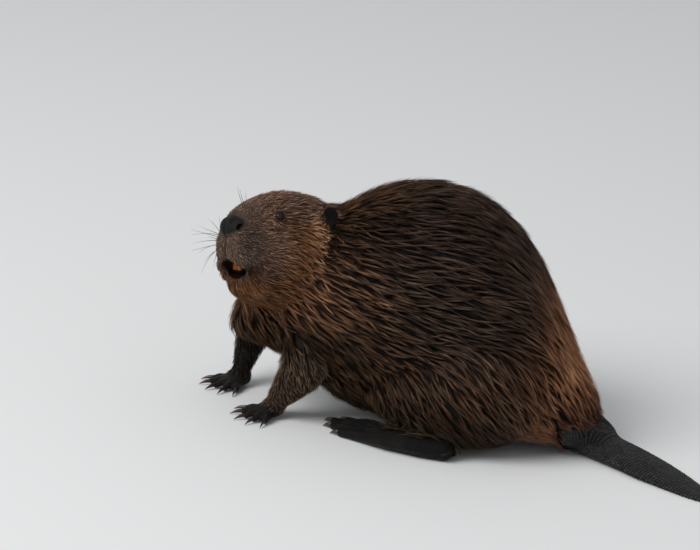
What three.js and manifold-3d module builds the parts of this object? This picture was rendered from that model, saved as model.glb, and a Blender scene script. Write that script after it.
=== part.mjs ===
// A life-size North American beaver: hunched on its hind feet, forefeet on the ground, mouth a little
// open, head turned to its own left. Millimetres, +Z up. The animal faces -Y and its left side is +X.
// Flesh is lofted: rings of a superellipse strung along a smooth centreline, out to the tips of the
// coat. Where two parts meet, one is cut back from the other, which leaves a thin gap between them.
import * as THREE from "three";
import { mergeVertices } from "three/addons/utils/BufferGeometryUtils.js";
import Module from "manifold-3d";

const wasm = await Module();
wasm.setup();

// ---- driving dimensions ----
const GAP = 0.35; // between two parts that meet
const MIDLINE = -18; // of the hips
const NOSE = [126, -326, 280]; // tip of the nose, where the head's own frame sits
const HEAD_TURN = 50; // degrees, to the animal's left
const HEAD_LIFT = 8; // degrees, nose up
const HEAD_ROLL = -13; // degrees, left cheek up
const EYE = { radius: 6.4, back: 64, out: 34, up: 14 };
const EAR = { back: 133, out: 54, up: 13, height: 36, width: 29, thickness: 8 };
const INCISOR = { width: 6.5, depth: 5, length: 22, back: 30, root: -42 };
const TAIL_ROOT = [-22, 176]; // where the scaly paddle leaves the fur
const TAIL_LENGTH = 244;
const TAIL_WIDTH = 82;
const HIND_TOES = 5;
const FORE_DIGITS = 5;

const LOOKS = {
  coat: { color: 0x4a3428, roughness: 0.8 },
  dark_coat: { color: 0x2a211b, roughness: 0.8 },
  leather: { color: 0x2b2927, roughness: 0.6 },
  tail_scale: { color: 0x3a3937, roughness: 0.6 },
  claw: { color: 0x4a3128, roughness: 0.45 },
  tooth: { color: 0xb55d1c, roughness: 0.35 },
  eye: { color: 0x0b0908, roughness: 0.08 },
};

// ---- lofting ----
const rad = THREE.MathUtils.degToRad;
const vector = (p) => new THREE.Vector3(...p);

// Catmull-Rom through one quantity of the stations, at position t from 0 to 1.
function along(stations, key, t) {
  const last = stations.length - 1;
  const place = Math.min(last - 1e-9, Math.max(0, t * last));
  const i = Math.floor(place);
  const f = place - i;
  const [a, b, c, d] = [i - 1, i, i + 1, i + 2].map((k) => stations[Math.min(last, Math.max(0, k))][key]);
  const blend = (p, q, r, s) =>
    0.5 * (2 * q + (r - p) * f + (2 * p - 5 * q + 4 * r - s) * f ** 2 + (3 * q - p - 3 * r + s) * f ** 3);
  return Array.isArray(b) ? b.map((_, k) => blend(a[k], b[k], c[k], d[k])) : blend(a, b, c, d);
}

// Where the rings go: evenly, with more of them where a blunt end rounds off.
function ringPlaces(rings, [first, last]) {
  const places = [];
  for (let r = 0; r <= rings; r++) places.push(first + ((1 - first - last) * r) / rings);
  const steps = 2;
  for (let k = 0; k < steps; k++) {
    const round = 1 - Math.cos(((k + 0.35) / steps) * (Math.PI / 2));
    if (first) places.push(first * round);
    if (last) places.push(1 - last * round);
  }
  return places.sort((a, b) => a - b);
}

// How far a blunt end has closed in at t: a quarter ellipse over its share of the length.
function closing(t, [first, last]) {
  const shrink = (share, into) => (share && into < share ? Math.sqrt(1 - (1 - into / share) ** 2) : 1);
  return Math.max(0.02, shrink(first, t) * shrink(last, 1 - t));
}

// A closed solid of rings. A station has at (the centre), rise (the way up), side (half width), up and
// down (half heights), and square (the superellipse's exponent). blunt gives the share of the length
// over which each end rounds off, and grow swells the whole loft.
function loft(stations, { rings, sides, blunt = [0, 0], grow = 0 }) {
  const positions = [];
  const places = ringPlaces(rings, blunt);
  const direction = (t) => {
    const ahead = vector(along(stations, "at", Math.min(1, t + 0.02)));
    return ahead.sub(vector(along(stations, "at", Math.max(0, t - 0.02)))).normalize();
  };
  // The ends move outwards too when the loft swells.
  const beyond = { [places[0]]: -grow, [places.at(-1)]: grow };
  for (const t of places) {
    const forward = direction(t);
    const centre = vector(along(stations, "at", t)).addScaledVector(forward, beyond[t] ?? 0);
    const side = new THREE.Vector3().crossVectors(vector(along(stations, "rise", t)), forward).normalize();
    const rise = vector(along(stations, "rise", t)).normalize();
    const power = 2 / along(stations, "square", t);
    const close = closing(t, blunt);
    const reach = (key) => Math.max(0.5, along(stations, key, t) * close + grow);
    const [wide, high, low] = ["side", "up", "down"].map(reach);
    for (let k = 0; k < sides; k++) {
      const angle = (2 * Math.PI * (k + 0.5)) / sides;
      const across = Math.sign(Math.cos(angle)) * Math.abs(Math.cos(angle)) ** power;
      const over = Math.sign(Math.sin(angle)) * Math.abs(Math.sin(angle)) ** power;
      const p = centre.clone().addScaledVector(side, wide * across);
      positions.push(...p.addScaledVector(rise, (over > 0 ? high : low) * over));
    }
  }
  const index = [];
  for (let r = 0; r < places.length - 1; r++)
    for (let k = 0; k < sides; k++) {
      const a = r * sides + k;
      const b = r * sides + ((k + 1) % sides);
      index.push(a, b, a + sides, b, b + sides, a + sides);
    }
  const lastRing = (places.length - 1) * sides;
  for (const [ring, end, out] of [[0, 0, -grow], [lastRing, 1, grow]]) {
    const hub = positions.length / 3;
    positions.push(...vector(along(stations, "at", end)).addScaledVector(direction(end), out));
    for (let k = 0; k < sides; k++) {
      const edge = [ring + k, ring + ((k + 1) % sides)];
      index.push(hub, ...(ring ? edge : edge.reverse()));
    }
  }
  return solid(positions, index);
}

function solid(positions, index) {
  const build = (triangles) =>
    new wasm.Manifold(
      new wasm.Mesh({
        numProp: 3,
        vertProperties: new Float32Array(positions),
        triVerts: new Uint32Array(triangles),
      }),
    );
  const made = build(index);
  return made.volume() > 0 ? made : build([...index].reverse());
}

function fromGeometry(geometry) {
  geometry.deleteAttribute("normal");
  geometry.deleteAttribute("uv");
  const merged = mergeVertices(geometry, 1e-3);
  return solid(merged.attributes.position.array, merged.index.array);
}

const ball = (at, radius, detail = 1) =>
  fromGeometry(new THREE.IcosahedronGeometry(radius, detail).translate(...at));

function block(low, high) {
  const size = high.map((h, i) => h - low[i]);
  const middle = high.map((h, i) => (h + low[i]) / 2);
  return fromGeometry(new THREE.BoxGeometry(...size).translate(...middle));
}

const join = (...pieces) => pieces.reduce((a, b) => a.add(b));
const biggest = (made) => made.decompose().reduce((a, b) => (a.volume() > b.volume() ? a : b));
const onFloor = (made) => made.intersect(block([-600, -600, 0], [600, 600, 600]));

// A slice of the trunk between a point of the back and a point of the belly, both [y, z], in the plane
// x = middle. waist is how high up the slice is widest, as a share of its height.
function slice(back, belly, middle, side, waist = 0.46, square = 2.15) {
  const rise = [0, back[0] - belly[0], back[1] - belly[1]];
  const height = Math.hypot(...rise);
  return {
    at: [middle, belly[0] + rise[1] * waist, belly[1] + rise[2] * waist],
    rise: rise.map((v) => v / height),
    side,
    up: height * (1 - waist),
    down: height * waist,
    square,
  };
}

// A ring of a limb: its centre, half width across and half depth.
const ring = (at, side, depth, rise = [0, 0, 1], square = 2) => ({
  at,
  rise,
  side,
  up: depth,
  down: depth,
  square,
});

// ---- trunk, neck and tail base ----
const TRUNK = [
  slice([-322, 152], [-333, 106], 16, 26),
  slice([-306, 188], [-322, 92], 15, 62),
  slice([-272, 223], [-292, 86], 11, 86),
  slice([-232, 262], [-252, 74], 5, 100),
  slice([-186, 300], [-208, 42], -2, 112),
  slice([-132, 332], [-156, 14], -9, 120, 0.42, 2.3),
  slice([-70, 344], [-98, 8], -15, 127, 0.4, 2.3),
  slice([-7, 333], [-38, 7], -18, 130, 0.38, 2.3),
  slice([52, 291], [14, 6], -19, 129, 0.36, 2.4),
  slice([97, 228], [60, 6], -19, 120, 0.36, 2.4),
  slice([136, 160], [102, 6], -20, 100, 0.4, 2.3),
  slice([170, 100], [140, 7], -22, 72, 0.44, 2.2),
  slice([198, 62], [174, 9], -24, 48),
];
const NECK = [
  ring([-8, -172, 208], 74, 82, [0.1, 0.35, 0.93]),
  ring([2, -206, 224], 70, 70, [0, 0.3, 0.95]),
  ring([20, -232, 234], 66, 62, [-0.15, 0.2, 0.96]),
  ring([40, -250, 240], 56, 56, [-0.2, 0.1, 0.96]),
];
const trunkSolid = (grow) => loft(TRUNK, { rings: 19, sides: 22, blunt: [0.06, 0.04], grow });
const neckSolid = (grow) => loft(NECK, { rings: 5, sides: 18, grow });

// ---- head, in its own frame: X to its left, Y back from the nose, Z up ----
const HEAD_FRAME = new THREE.Matrix4()
  .makeTranslation(...NOSE)
  .multiply(new THREE.Matrix4().makeRotationZ(rad(HEAD_TURN)))
  .multiply(new THREE.Matrix4().makeRotationX(-rad(HEAD_LIFT)))
  .multiply(new THREE.Matrix4().makeRotationY(rad(HEAD_ROLL)));
const onHead = (made) => made.transform(HEAD_FRAME.elements);

// A ring of the head: how far back, its top, its bottom, half width, how high its widest place is as
// a share, and its sideways shift.
const headRing = (back, top, bottom, side, waist = 0.5, x = 0, square = 2.2) => ({
  at: [x, back, bottom + (top - bottom) * waist],
  rise: [0, 0, 1],
  side,
  up: (top - bottom) * (1 - waist),
  down: (top - bottom) * waist,
  square,
});

const SKULL = [
  headRing(2, 5, -16, 15),
  headRing(14, 15, -34, 25),
  headRing(38, 32, -50, 34),
  headRing(66, 43, -56, 40.4, 0.46),
  headRing(94, 48, -62, 48, 0.42),
  headRing(122, 47, -64, 55, 0.42),
  headRing(148, 41, -62, 56, 0.44),
  headRing(172, 29, -54, 48, 0.46),
];
const UPPER_LIP = [
  headRing(3, -4, -32, 14, 0.4),
  headRing(9, 0, -59, 27, 0.4, 0, 2.8),
  headRing(26, 4, -62, 35, 0.4, 0, 2.6),
  headRing(50, 6, -60, 38, 0.42),
  headRing(74, 4, -52, 36, 0.45),
];
const CHIN = [
  headRing(19, -60, -86, 13),
  headRing(26, -50, -96, 21),
  headRing(48, -44, -106, 31),
  headRing(80, -36, -112, 43),
  headRing(112, -26, -112, 50),
  headRing(142, -18, -104, 50),
  headRing(166, -16, -90, 42),
];
const cheek = (s) => [
  headRing(50, 0, -56, 12, 0.5, s * 20),
  headRing(78, 8, -66, 23, 0.5, s * 31),
  headRing(106, 12, -74, 30, 0.5, s * 34),
  headRing(136, 12, -74, 30, 0.5, s * 34),
  headRing(164, 8, -62, 22, 0.5, s * 30),
];
const MOUTH = [
  headRing(-2, -46, -72, 15),
  headRing(20, -46, -74, 16),
  headRing(34, -48, -68, 20),
  headRing(50, -54, -60, 27),
];
const NOSE_PAD = [
  headRing(-1, 3, -10, 8),
  headRing(2, 6, -15, 14),
  headRing(10, 10.5, -16, 16),
  headRing(18, 11, -12, 14),
];

const eyeBall = (s, grow = 0) =>
  onHead(ball([s * EYE.out, EYE.back, EYE.up], EYE.radius + grow));
const nosePad = (grow) => onHead(loft(NOSE_PAD, { rings: 4, sides: 14, blunt: [0.35, 0], grow }));

// The head before it is parted: skull, lip, chin and cheeks as one body, with the mouth open.
function headWhole(grow) {
  const flesh = join(
    loft(SKULL, { rings: 9, sides: 16, blunt: [0.08, 0.12], grow }),
    loft(UPPER_LIP, { rings: 4, sides: 14, blunt: [0.15, 0], grow }),
    loft(CHIN, { rings: 6, sides: 14, blunt: [0.1, 0.1], grow }),
    loft(cheek(1), { rings: 4, sides: 12, blunt: [0.12, 0.12], grow }),
    loft(cheek(-1), { rings: 4, sides: 12, blunt: [0.12, 0.12], grow }),
  );
  const mouth = loft(MOUTH, { rings: 3, sides: 10, blunt: [0, 0.2], grow: -grow });
  return onHead(flesh.subtract(mouth));
}
const jawSpace = (grow) => onHead(block([-80, -20, -150], [80, 92 + grow, -57 + grow]));

// The pinna: a thick rounded plate that stands out behind the cheek and faces half forwards.
function ear(s, grow) {
  const { back, out, up, height, width, thickness } = EAR;
  const stations = [-0.7, -0.35, 0, 0.3, 0.5].map((z, i) => ({
    at: [s * (out - 4 + 3 * i), back + 0.5 * i, up + z * height],
    rise: [s * 0.5, -0.85, 0.1],
    side: (width / 2) * [0.7, 0.92, 1, 0.84, 0.3][i],
    up: thickness / 2,
    down: thickness / 2,
    square: 2,
  }));
  return onHead(loft(stations, { rings: 5, sides: 10, blunt: [0, 0.16], grow }));
}

// An upper incisor, from inside the gum to its chisel edge.
function incisor(s) {
  const { width, depth, length, back, root } = INCISOR;
  const stations = [0, 0.5, 1].map((t) => ({
    at: [s * (width / 2 + GAP / 2), back - 3 * t - 2 * t * t, root - length * t],
    rise: [0, 1, 0],
    side: width / 2,
    up: depth * (0.5 - 0.3 * t),
    down: depth * 0.5,
    square: 3,
  }));
  return onHead(loft(stations, { rings: 4, sides: 8 }));
}

// ---- forelegs: s is 1 for the left and -1 for the right ----
const FORELEG = {
  left: [
    ring([36, -222, 176], 34, 44, [0, 1, 0.1]),
    ring([64, -208, 132], 34, 44, [0, 1, 0.2]),
    ring([82, -200, 92], 29, 40, [0, 1, 0]),
    ring([77, -219, 58], 24, 29, [0, 0.9, -0.4]),
    ring([70, -239, 29], 18, 18, [0, 0.8, -0.6]),
    ring([68, -247, 14], 15, 14, [0, 0.8, -0.6]),
  ],
  right: [
    ring([-18, -256, 176], 34, 44, [0, 1, 0.2]),
    ring([-36, -282, 132], 32, 42, [0, 1, -0.3]),
    ring([-44, -302, 88], 26, 31, [0, 1, -0.2]),
    ring([-38, -310, 54], 20, 22, [0, 1, -0.1]),
    ring([-33, -315, 27], 16, 15, [0, 1, -0.2]),
    ring([-31, -318, 13], 14, 13, [0, 1, -0.3]),
  ],
};
const forelegSolid = (side, grow) => loft(FORELEG[side], { rings: 7, sides: 10, grow });

// A foot's own frame: Y forwards from the joint, X towards the big toe's far side, on the floor.
const footFrame = ([x, y], heading) =>
  new THREE.Matrix4().makeTranslation(x, y, 0).multiply(new THREE.Matrix4().makeRotationZ(rad(heading)));

const FOREPAW = {
  left: { at: [69, -243], heading: 42 },
  right: { at: [-31, -314], heading: 50 },
};
const PALM = [
  ring([0, 10, 12], 13, 10),
  ring([0, -4, 12], 17, 11),
  ring([0, -18, 9], 19, 9),
  ring([0, -28, 7], 17, 7),
];
const FORE_DIGIT = { length: 27, radius: 5.4, fan: 21, claw: 16 };
// A point d along a digit that starts at root and turns outwards, on the left foot or the right.
const digitReach = (s, root, turn) => (d) => [
  s * (root[0] + d * Math.sin(turn)),
  root[1] - d * Math.cos(turn),
];
// Digits are counted from the inner side of the foot.
const foreDigits = (s) => Array.from({ length: FORE_DIGITS }, (_, i) => {
  const across = i - (FORE_DIGITS - 1) / 2;
  const length = FORE_DIGIT.length * (1 - 0.07 * across ** 2);
  const reach = digitReach(s, [across * 7, -20 + across ** 2], rad(across * FORE_DIGIT.fan));
  return {
    bones: [
      ring([...reach(-4), 8], FORE_DIGIT.radius, 6),
      ring([...reach(length * 0.45), 8.5], FORE_DIGIT.radius, 5.5),
      ring([...reach(length * 0.85), 5.5], FORE_DIGIT.radius * 0.92, 5),
      ring([...reach(length), 4.5], FORE_DIGIT.radius * 0.8, 4.2),
    ],
    claw: [
      ring([...reach(length + GAP), 5.6], 2.7, 2.6),
      ring([...reach(length + FORE_DIGIT.claw * 0.5), 4.9], 2, 2.2),
      ring([...reach(length + FORE_DIGIT.claw), 1.5], 0.8, 0.8),
    ],
  };
});

// ---- hind legs and feet ----
const haunch = (s) => [
  ring([MIDLINE + s * 54, 116, 78], 32, 42, [0, 0.3, 0.95]),
  ring([MIDLINE + s * 90, 78, 86], 44, 74, [0, 0.2, 0.98]),
  ring([MIDLINE + s * 110, 28, 90], 46, 84, [0, 0.1, 1]),
  ring([MIDLINE + s * 114, -26, 82], 42, 72, [0, 0, 1]),
  ring([MIDLINE + s * 104, -74, 70], 34, 50, [0, -0.1, 1]),
  ring([MIDLINE + s * 84, -112, 60], 22, 30, [0, -0.2, 0.98]),
];
const shank = (s) => [
  ring([MIDLINE + s * 110, -40, 60], 24, 28, [0, 0.5, 0.86]),
  ring([MIDLINE + s * 120, -4, 42], 24, 26, [0, 0.5, 0.86]),
  ring([MIDLINE + s * 124, 20, 25], 20, 21, [0, 0.5, 0.86]),
];
const hindLegSolid = (s, grow) =>
  join(
    loft(haunch(s), { rings: 8, sides: 14, blunt: [0.12, 0.12], grow }),
    loft(shank(s), { rings: 3, sides: 10, blunt: [0, 0.3], grow }),
  );

const HIND_FOOT = {
  left: { at: [119, 6], heading: -20 },
  right: { at: [-153, 6], heading: 17 },
};
// The sole bows outwards, and the toes turn back in from it.
const sole = (s) => [
  ring([0, 10, 13], 13, 13),
  ring([s * 3, -10, 20], 20, 21),
  ring([s * 12, -44, 18], 26, 19),
  ring([s * 15, -82, 13], 29, 14),
  ring([s * 10, -110, 8], 31, 8),
];
const HIND_TOE = { length: 84, radius: 7.5, claw: 12, spacing: 12, fan: 4, turnIn: 5 };
const hindToes = (s) => Array.from({ length: HIND_TOES }, (_, i) => {
  const across = i - (HIND_TOES - 1) / 2;
  const length = HIND_TOE.length * [0.62, 0.86, 1, 0.88, 0.62][i];
  const turn = rad(across * HIND_TOE.fan - HIND_TOE.turnIn);
  const reach = digitReach(s, [8 + across * HIND_TOE.spacing, -98], turn);
  return {
    bones: [
      ring([...reach(-10), 9], HIND_TOE.radius, 8),
      ring([...reach(length * 0.5), 8], HIND_TOE.radius * 0.92, 7),
      ring([...reach(length * 0.88), 5.5], HIND_TOE.radius * 0.85, 5.5),
      ring([...reach(length), 4.5], HIND_TOE.radius * 0.7, 4.5),
    ],
    claw: [
      ring([...reach(length + GAP), 5.4], 3.2, 2.6),
      ring([...reach(length + HIND_TOE.claw * 0.5), 4.4], 2.5, 2.2),
      ring([...reach(length + HIND_TOE.claw), 1.6], 1, 1),
    ],
  };
});

// The web between the toes: one thin fan from the ball of the foot to the toes' last joints.
const web = (s) => [
  ring([s * 9, -94, 6], 30, 4),
  ring([s * 7, -122, 5.5], 33, 3.4),
  ring([s * 5, -148, 4.5], 31, 2.6),
  ring([s * 3, -164, 4], 22, 2),
];

const digitSolid = (bones) => loft(bones, { rings: 2, sides: 6, blunt: [0, 0.22] });
const clawSolid = (claw) => loft(claw, { rings: 2, sides: 5 });

function footSolid(palm, digits, extra = []) {
  const flesh = loft(palm, { rings: 3, sides: 10, blunt: [0.15, 0] });
  return join(flesh, ...digits.map((digit) => digitSolid(digit.bones)), ...extra);
}

// ---- tail: a flat paddle that bends to the left on the floor ----
function paddle(grow) {
  const shape = [0.84, 0.97, 1, 0.94, 0.79, 0.58, 0.3];
  const [x0, y0] = TAIL_ROOT;
  const stations = shape.map((share, i) => {
    const t = i / (shape.length - 1);
    const bend = rad(26 + 8 * t);
    const run = TAIL_LENGTH * t - 14;
    const thick = 26 * (1 - t) ** 1.5 + 6;
    return {
      at: [x0 + run * Math.sin(bend), y0 + run * Math.cos(bend), thick * 0.36],
      rise: [0, 0, 1],
      side: (TAIL_WIDTH / 2) * share,
      up: thick * 0.64,
      down: thick * 0.36 + 1,
      square: 1.9,
    };
  });
  return loft(stations, { rings: 8, sides: 12, blunt: [0, 0.14], grow });
}
const TAIL_BASE = [
  ring([-20, 128, 50], 64, 46, [0, 0.5, 0.86]),
  ring([-20, 160, 34], 52, 34, [0, 0.4, 0.92]),
  ring([-12, 190, 23], 43, 23, [0, 0.3, 0.95]),
  ring([-4, 206, 18], 36, 17, [0, 0.3, 0.95]),
];
const tailBase = (grow) => loft(TAIL_BASE, { rings: 3, sides: 14, blunt: [0, 0.25], grow });

// ---- the parts, each cut back from those before it that it meets ----
const parts = new Map();
const add = (name, look, made) => parts.set(name, { look, made });
const less = (made, ...cutters) => biggest(cutters.reduce((a, b) => a.subtract(b), made));

const trunkCut = trunkSolid(GAP);
const neckCut = neckSolid(GAP);
const eyeCuts = [eyeBall(1, GAP), eyeBall(-1, GAP)];
const head = less(headWhole(0), trunkCut, neckCut, jawSpace(GAP), nosePad(GAP), ...eyeCuts);

add("trunk", "coat", onFloor(trunkSolid(0)));
add("neck", "coat", less(neckSolid(0), trunkCut));
add("head", "coat", head);
add("lower_jaw", "coat", less(headWhole(0).intersect(jawSpace(0)), trunkCut, neckCut));
add("nose", "leather", nosePad(0));
for (const [side, s] of [["left", 1], ["right", -1]]) {
  add(`eye_${side}`, "eye", eyeBall(s));
  add(`ear_${side}`, "dark_coat", less(ear(s, 0), headWhole(GAP), neckCut, trunkCut));
  add(`incisor_${side}`, "tooth", less(incisor(s), headWhole(GAP)));
  add(`foreleg_${side}`, "dark_coat", less(onFloor(forelegSolid(side, 0)), trunkCut));
  add(`hind_leg_${side}`, "coat", less(onFloor(hindLegSolid(s, 0)), trunkCut, tailBase(GAP)));

  const fore = footFrame(FOREPAW[side].at, FOREPAW[side].heading).elements;
  const paw = footSolid(PALM, foreDigits(s)).transform(fore);
  add(`forepaw_${side}`, "leather", less(onFloor(paw), forelegSolid(side, GAP)));
  const hind = footFrame(HIND_FOOT[side].at, HIND_FOOT[side].heading).elements;
  const foot = footSolid(sole(s), hindToes(s), [loft(web(s), { rings: 2, sides: 6 })]).transform(hind);
  add(`hind_foot_${side}`, "leather", less(onFloor(foot), hindLegSolid(s, GAP), trunkCut));
  for (const [kind, digits, frame] of [["fore", foreDigits, fore], ["hind", hindToes, hind]])
    digits(s).forEach(({ claw }, i) => {
      add(`${kind}_claw_${side}_${i + 1}`, "claw", clawSolid(claw).transform(frame));
    });
}
add("tail_base", "coat", less(onFloor(tailBase(0)), trunkCut));
add("tail", "tail_scale", less(onFloor(paddle(0)), tailBase(GAP), trunkCut));

const beaver = new THREE.Group();
for (const [name, { look, made }] of parts) {
  const { vertProperties, triVerts } = made.getMesh();
  const geometry = new THREE.BufferGeometry()
    .setAttribute("position", new THREE.BufferAttribute(vertProperties, 3))
    .setIndex(new THREE.BufferAttribute(triVerts, 1));
  geometry.computeVertexNormals();
  const mesh = new THREE.Mesh(geometry, new THREE.MeshStandardMaterial(LOOKS[look]));
  mesh.name = name;
  beaver.add(mesh);
}
// The origin is on the floor, under the middle of the whole animal.
const middle = new THREE.Box3().setFromObject(beaver).getCenter(new THREE.Vector3());
beaver.position.set(-middle.x, -middle.y, 0);
export default beaver;
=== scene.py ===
"""A life-size North American beaver, hunched on its hind feet with its head turned to its left.

One skin, drawn in from the solids by the depth of the coat, carries the hairs of the coat as solid
points gathered in locks, the scales of the tail and the whiskers. Metres, +Z up, it faces -Y.
"""

import math

import bmesh
import bpy
import numpy as np
from mathutils import Matrix, Vector
from mathutils.bvhtree import BVHTree


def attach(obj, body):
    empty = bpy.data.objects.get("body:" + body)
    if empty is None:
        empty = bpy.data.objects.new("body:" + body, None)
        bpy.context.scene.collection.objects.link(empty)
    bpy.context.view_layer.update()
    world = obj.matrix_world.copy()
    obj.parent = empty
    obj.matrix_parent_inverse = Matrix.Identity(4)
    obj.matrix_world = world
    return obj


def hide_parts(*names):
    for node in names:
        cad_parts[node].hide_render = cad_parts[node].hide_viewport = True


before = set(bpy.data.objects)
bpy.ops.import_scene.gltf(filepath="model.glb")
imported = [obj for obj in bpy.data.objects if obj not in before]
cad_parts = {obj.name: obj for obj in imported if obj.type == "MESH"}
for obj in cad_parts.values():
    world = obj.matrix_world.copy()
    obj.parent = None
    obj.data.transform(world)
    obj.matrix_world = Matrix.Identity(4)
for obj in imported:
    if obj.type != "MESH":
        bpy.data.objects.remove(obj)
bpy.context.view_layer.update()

MM = 0.001
SIDES = ("left", "right")
MIRROR = {"left": np.array([1, 1, 1]), "right": np.array([-1, 1, 1])}
FLESH = ["trunk", "neck", "head", "lower_jaw", "nose", "tail_base", "tail"]
FLESH += [f"{part}_{side}" for side in SIDES for part in ("ear", "foreleg", "hind_leg")]
FLESH += [f"{part}_{side}" for side in SIDES for part in ("forepaw", "hind_foot")]
FACE = ("head", "lower_jaw", "nose")
FEET = ("forepaw_", "hind_foot_")
BARE = (*FEET, "tail", "nose")
DELICATE = ("ear_", "nose", *FEET, "tail")
FLOOR_GAP = 0.1 * MM  # nothing comes nearer to the floor than this


# ---- small tools ----
def unit(vectors):
    return vectors / np.maximum(np.linalg.norm(vectors, axis=-1, keepdims=True), 1e-9)


def distance(places, point):
    return np.linalg.norm(places - point, axis=1)


def around(count):
    """Angles evenly round a circle."""
    return np.linspace(0, 2 * np.pi, count, endpoint=False)


def ramp(low, high, values):
    """0 below low, 1 above high, and a smooth step between them."""
    t = np.clip((values - low) / (high - low), 0, 1)
    return t * t * (3 - 2 * t)


def hill(values):
    """1 at 0, fading smoothly to 0 on both sides, most of it within 1."""
    return np.exp(-(values**2))


def blended(under, over, share):
    return under + (over - under) * np.asarray(share, float)[:, None]


def read(items, name, width, kind=float):
    """One property of all of a mesh's items, as rows."""
    values = np.empty(len(items) * width, kind)
    items.foreach_get(name, values)
    return values.reshape(-1, width)


def triangle_corners(mesh):
    mesh.calc_loop_triangles()
    return read(mesh.loop_triangles, "vertices", 3, int)


def node_triangles(node):
    """The places of a solid's triangles' corners."""
    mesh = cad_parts[node].data
    return read(mesh.vertices, "co", 3)[triangle_corners(mesh)]


def surface_middle(node):
    triangles = node_triangles(node)
    edges = triangles[:, 1:] - triangles[:, :1]
    areas = np.linalg.norm(np.cross(edges[:, 0], edges[:, 1]), axis=1)
    return (triangles.mean(1) * areas[:, None]).sum(0) / areas.sum()


EYES = {side: surface_middle(f"eye_{side}") for side in SIDES}
EARS = {side: surface_middle(f"ear_{side}") for side in SIDES}

# ---- the head's own frame: X to its left, Y back from the nose tip, Z up ----
EYES_FROM_NOSE = np.array([55.0, 16.0]) * MM  # back and up from the middle of the nose pad
NOSE_MIDDLE = np.array([0, 9.0, -2.0]) * MM


def head_frame():
    """Where the head's frame starts, and its three axes."""
    nose = surface_middle("nose")
    across = unit(EYES["left"] - EYES["right"])
    towards = (EYES["left"] + EYES["right"]) / 2 - nose
    towards = unit(towards - across * (towards @ across))
    over = np.cross(across, towards)
    tilt = math.atan2(EYES_FROM_NOSE[1], EYES_FROM_NOSE[0])
    back = towards * math.cos(tilt) - over * math.sin(tilt)
    up = towards * math.sin(tilt) + over * math.cos(tilt)
    axes = np.array([across, back, up])
    return nose - NOSE_MIDDLE @ axes, axes


HEAD_ORIGIN, HEAD_AXES = head_frame()


def in_head(places):
    return (places - HEAD_ORIGIN) @ HEAD_AXES.T


def from_head(places):
    return np.asarray(places) @ HEAD_AXES + HEAD_ORIGIN


# ---- the solids as one surface, to tell which part a place belongs to ----
def solids_tree():
    """The surface, and the index in FLESH of the solid that each of its faces is from."""
    triangles = [node_triangles(node) for node in FLESH]
    owner = np.repeat(np.arange(len(FLESH)), [len(of_node) for of_node in triangles])
    corners = np.concatenate(triangles).reshape(-1, 3)
    faces = np.arange(len(corners)).reshape(-1, 3)
    return BVHTree.FromPolygons(corners.tolist(), faces.tolist()), owner


SOLIDS, OWNER = solids_tree()
FUR_LINE = np.array([150, 47]) * MM  # behind and below this the rump is the bare root of the tail
FUR_SLOPE = (180 * MM, 0.45)  # from here back the line comes down by this share
FUR_END = 211 * MM  # and all behind this is bare


def nearest_part(places):
    """The index in FLESH of the part that each place belongs to."""
    part_of = np.array([OWNER[SOLIDS.find_nearest(p)[2]] for p in places.tolist()])
    y, z = places[:, 1], places[:, 2]
    line = FUR_LINE[1] - FUR_SLOPE[1] * np.maximum(y - FUR_SLOPE[0], 0)
    part_of[((y > FUR_LINE[0]) & (z < line)) | (y > FUR_END)] = FLESH.index("tail")
    return part_of


def among(part_of, *names):
    """Which places belong to the named parts; a name that ends in _ stands for both sides."""
    wanted = [
        index
        for index, part in enumerate(FLESH)
        if any(part == name or (name[-1] == "_" and part.startswith(name)) for name in names)
    ]
    return np.isin(part_of, wanted)


# ---- meshes as arrays ----
def new_object(name, mesh):
    made = bpy.data.objects.new(name, mesh)
    bpy.context.scene.collection.objects.link(made)
    return made


def written(work, mesh):
    """Puts a bmesh into a mesh, and frees it."""
    work.to_mesh(mesh)
    work.free()
    return mesh


def mesh_arrays(mesh):
    return read(mesh.vertices, "co", 3), read(mesh.edges, "vertices", 2, int)


def vertex_normals(mesh):
    return read(mesh.vertex_normals, "vector", 3)


def set_places(mesh, places):
    places[:, 2] = np.maximum(places[:, 2], FLOOR_GAP)
    mesh.vertices.foreach_set("co", places.astype(np.float32).ravel())
    mesh.update()


def set_attribute(mesh, name, values, vector=False):
    """A value, a vector or a colour at each vertex."""
    values = np.asarray(values, np.float32)
    kind, socket = ("FLOAT_VECTOR", "vector") if vector else ("FLOAT_COLOR", "color")
    if values.ndim == 1:
        kind, socket = "FLOAT", "value"
    elif not vector:
        values = np.concatenate([values, np.ones((len(values), 1), np.float32)], axis=1)
    mesh.attributes.new(name, kind, "POINT").data.foreach_set(socket, values.ravel())


def evened(values, edges, passes):
    """Values brought half way to the mean of their neighbours along the edges, passes times over."""
    values = np.array(values, float)
    flat = values.reshape(len(values), -1)
    a, b = edges.T
    count = np.maximum(np.bincount(a, minlength=len(flat)) + np.bincount(b, minlength=len(flat)), 1)
    for _ in range(passes):
        sums = np.empty_like(flat)
        for k in range(flat.shape[1]):
            column = flat[:, k]
            sums[:, k] = np.bincount(a, column[b], len(flat)) + np.bincount(b, column[a], len(flat))
        flat = flat + 0.5 * (sums / count[:, None] - flat)
    return flat.reshape(values.shape)


def evaluated_mesh(obj):
    return bpy.data.meshes.new_from_object(obj.evaluated_get(bpy.context.evaluated_depsgraph_get()))


def modified(obj, kind, **settings):
    """Applies one modifier to an object's mesh."""
    modifier = obj.modifiers.new(kind, kind)
    for key, value in settings.items():
        setattr(modifier, key, value)
    result = evaluated_mesh(obj)
    obj.modifiers.clear()
    old = obj.data
    obj.data = result
    bpy.data.meshes.remove(old)
    return obj


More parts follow.
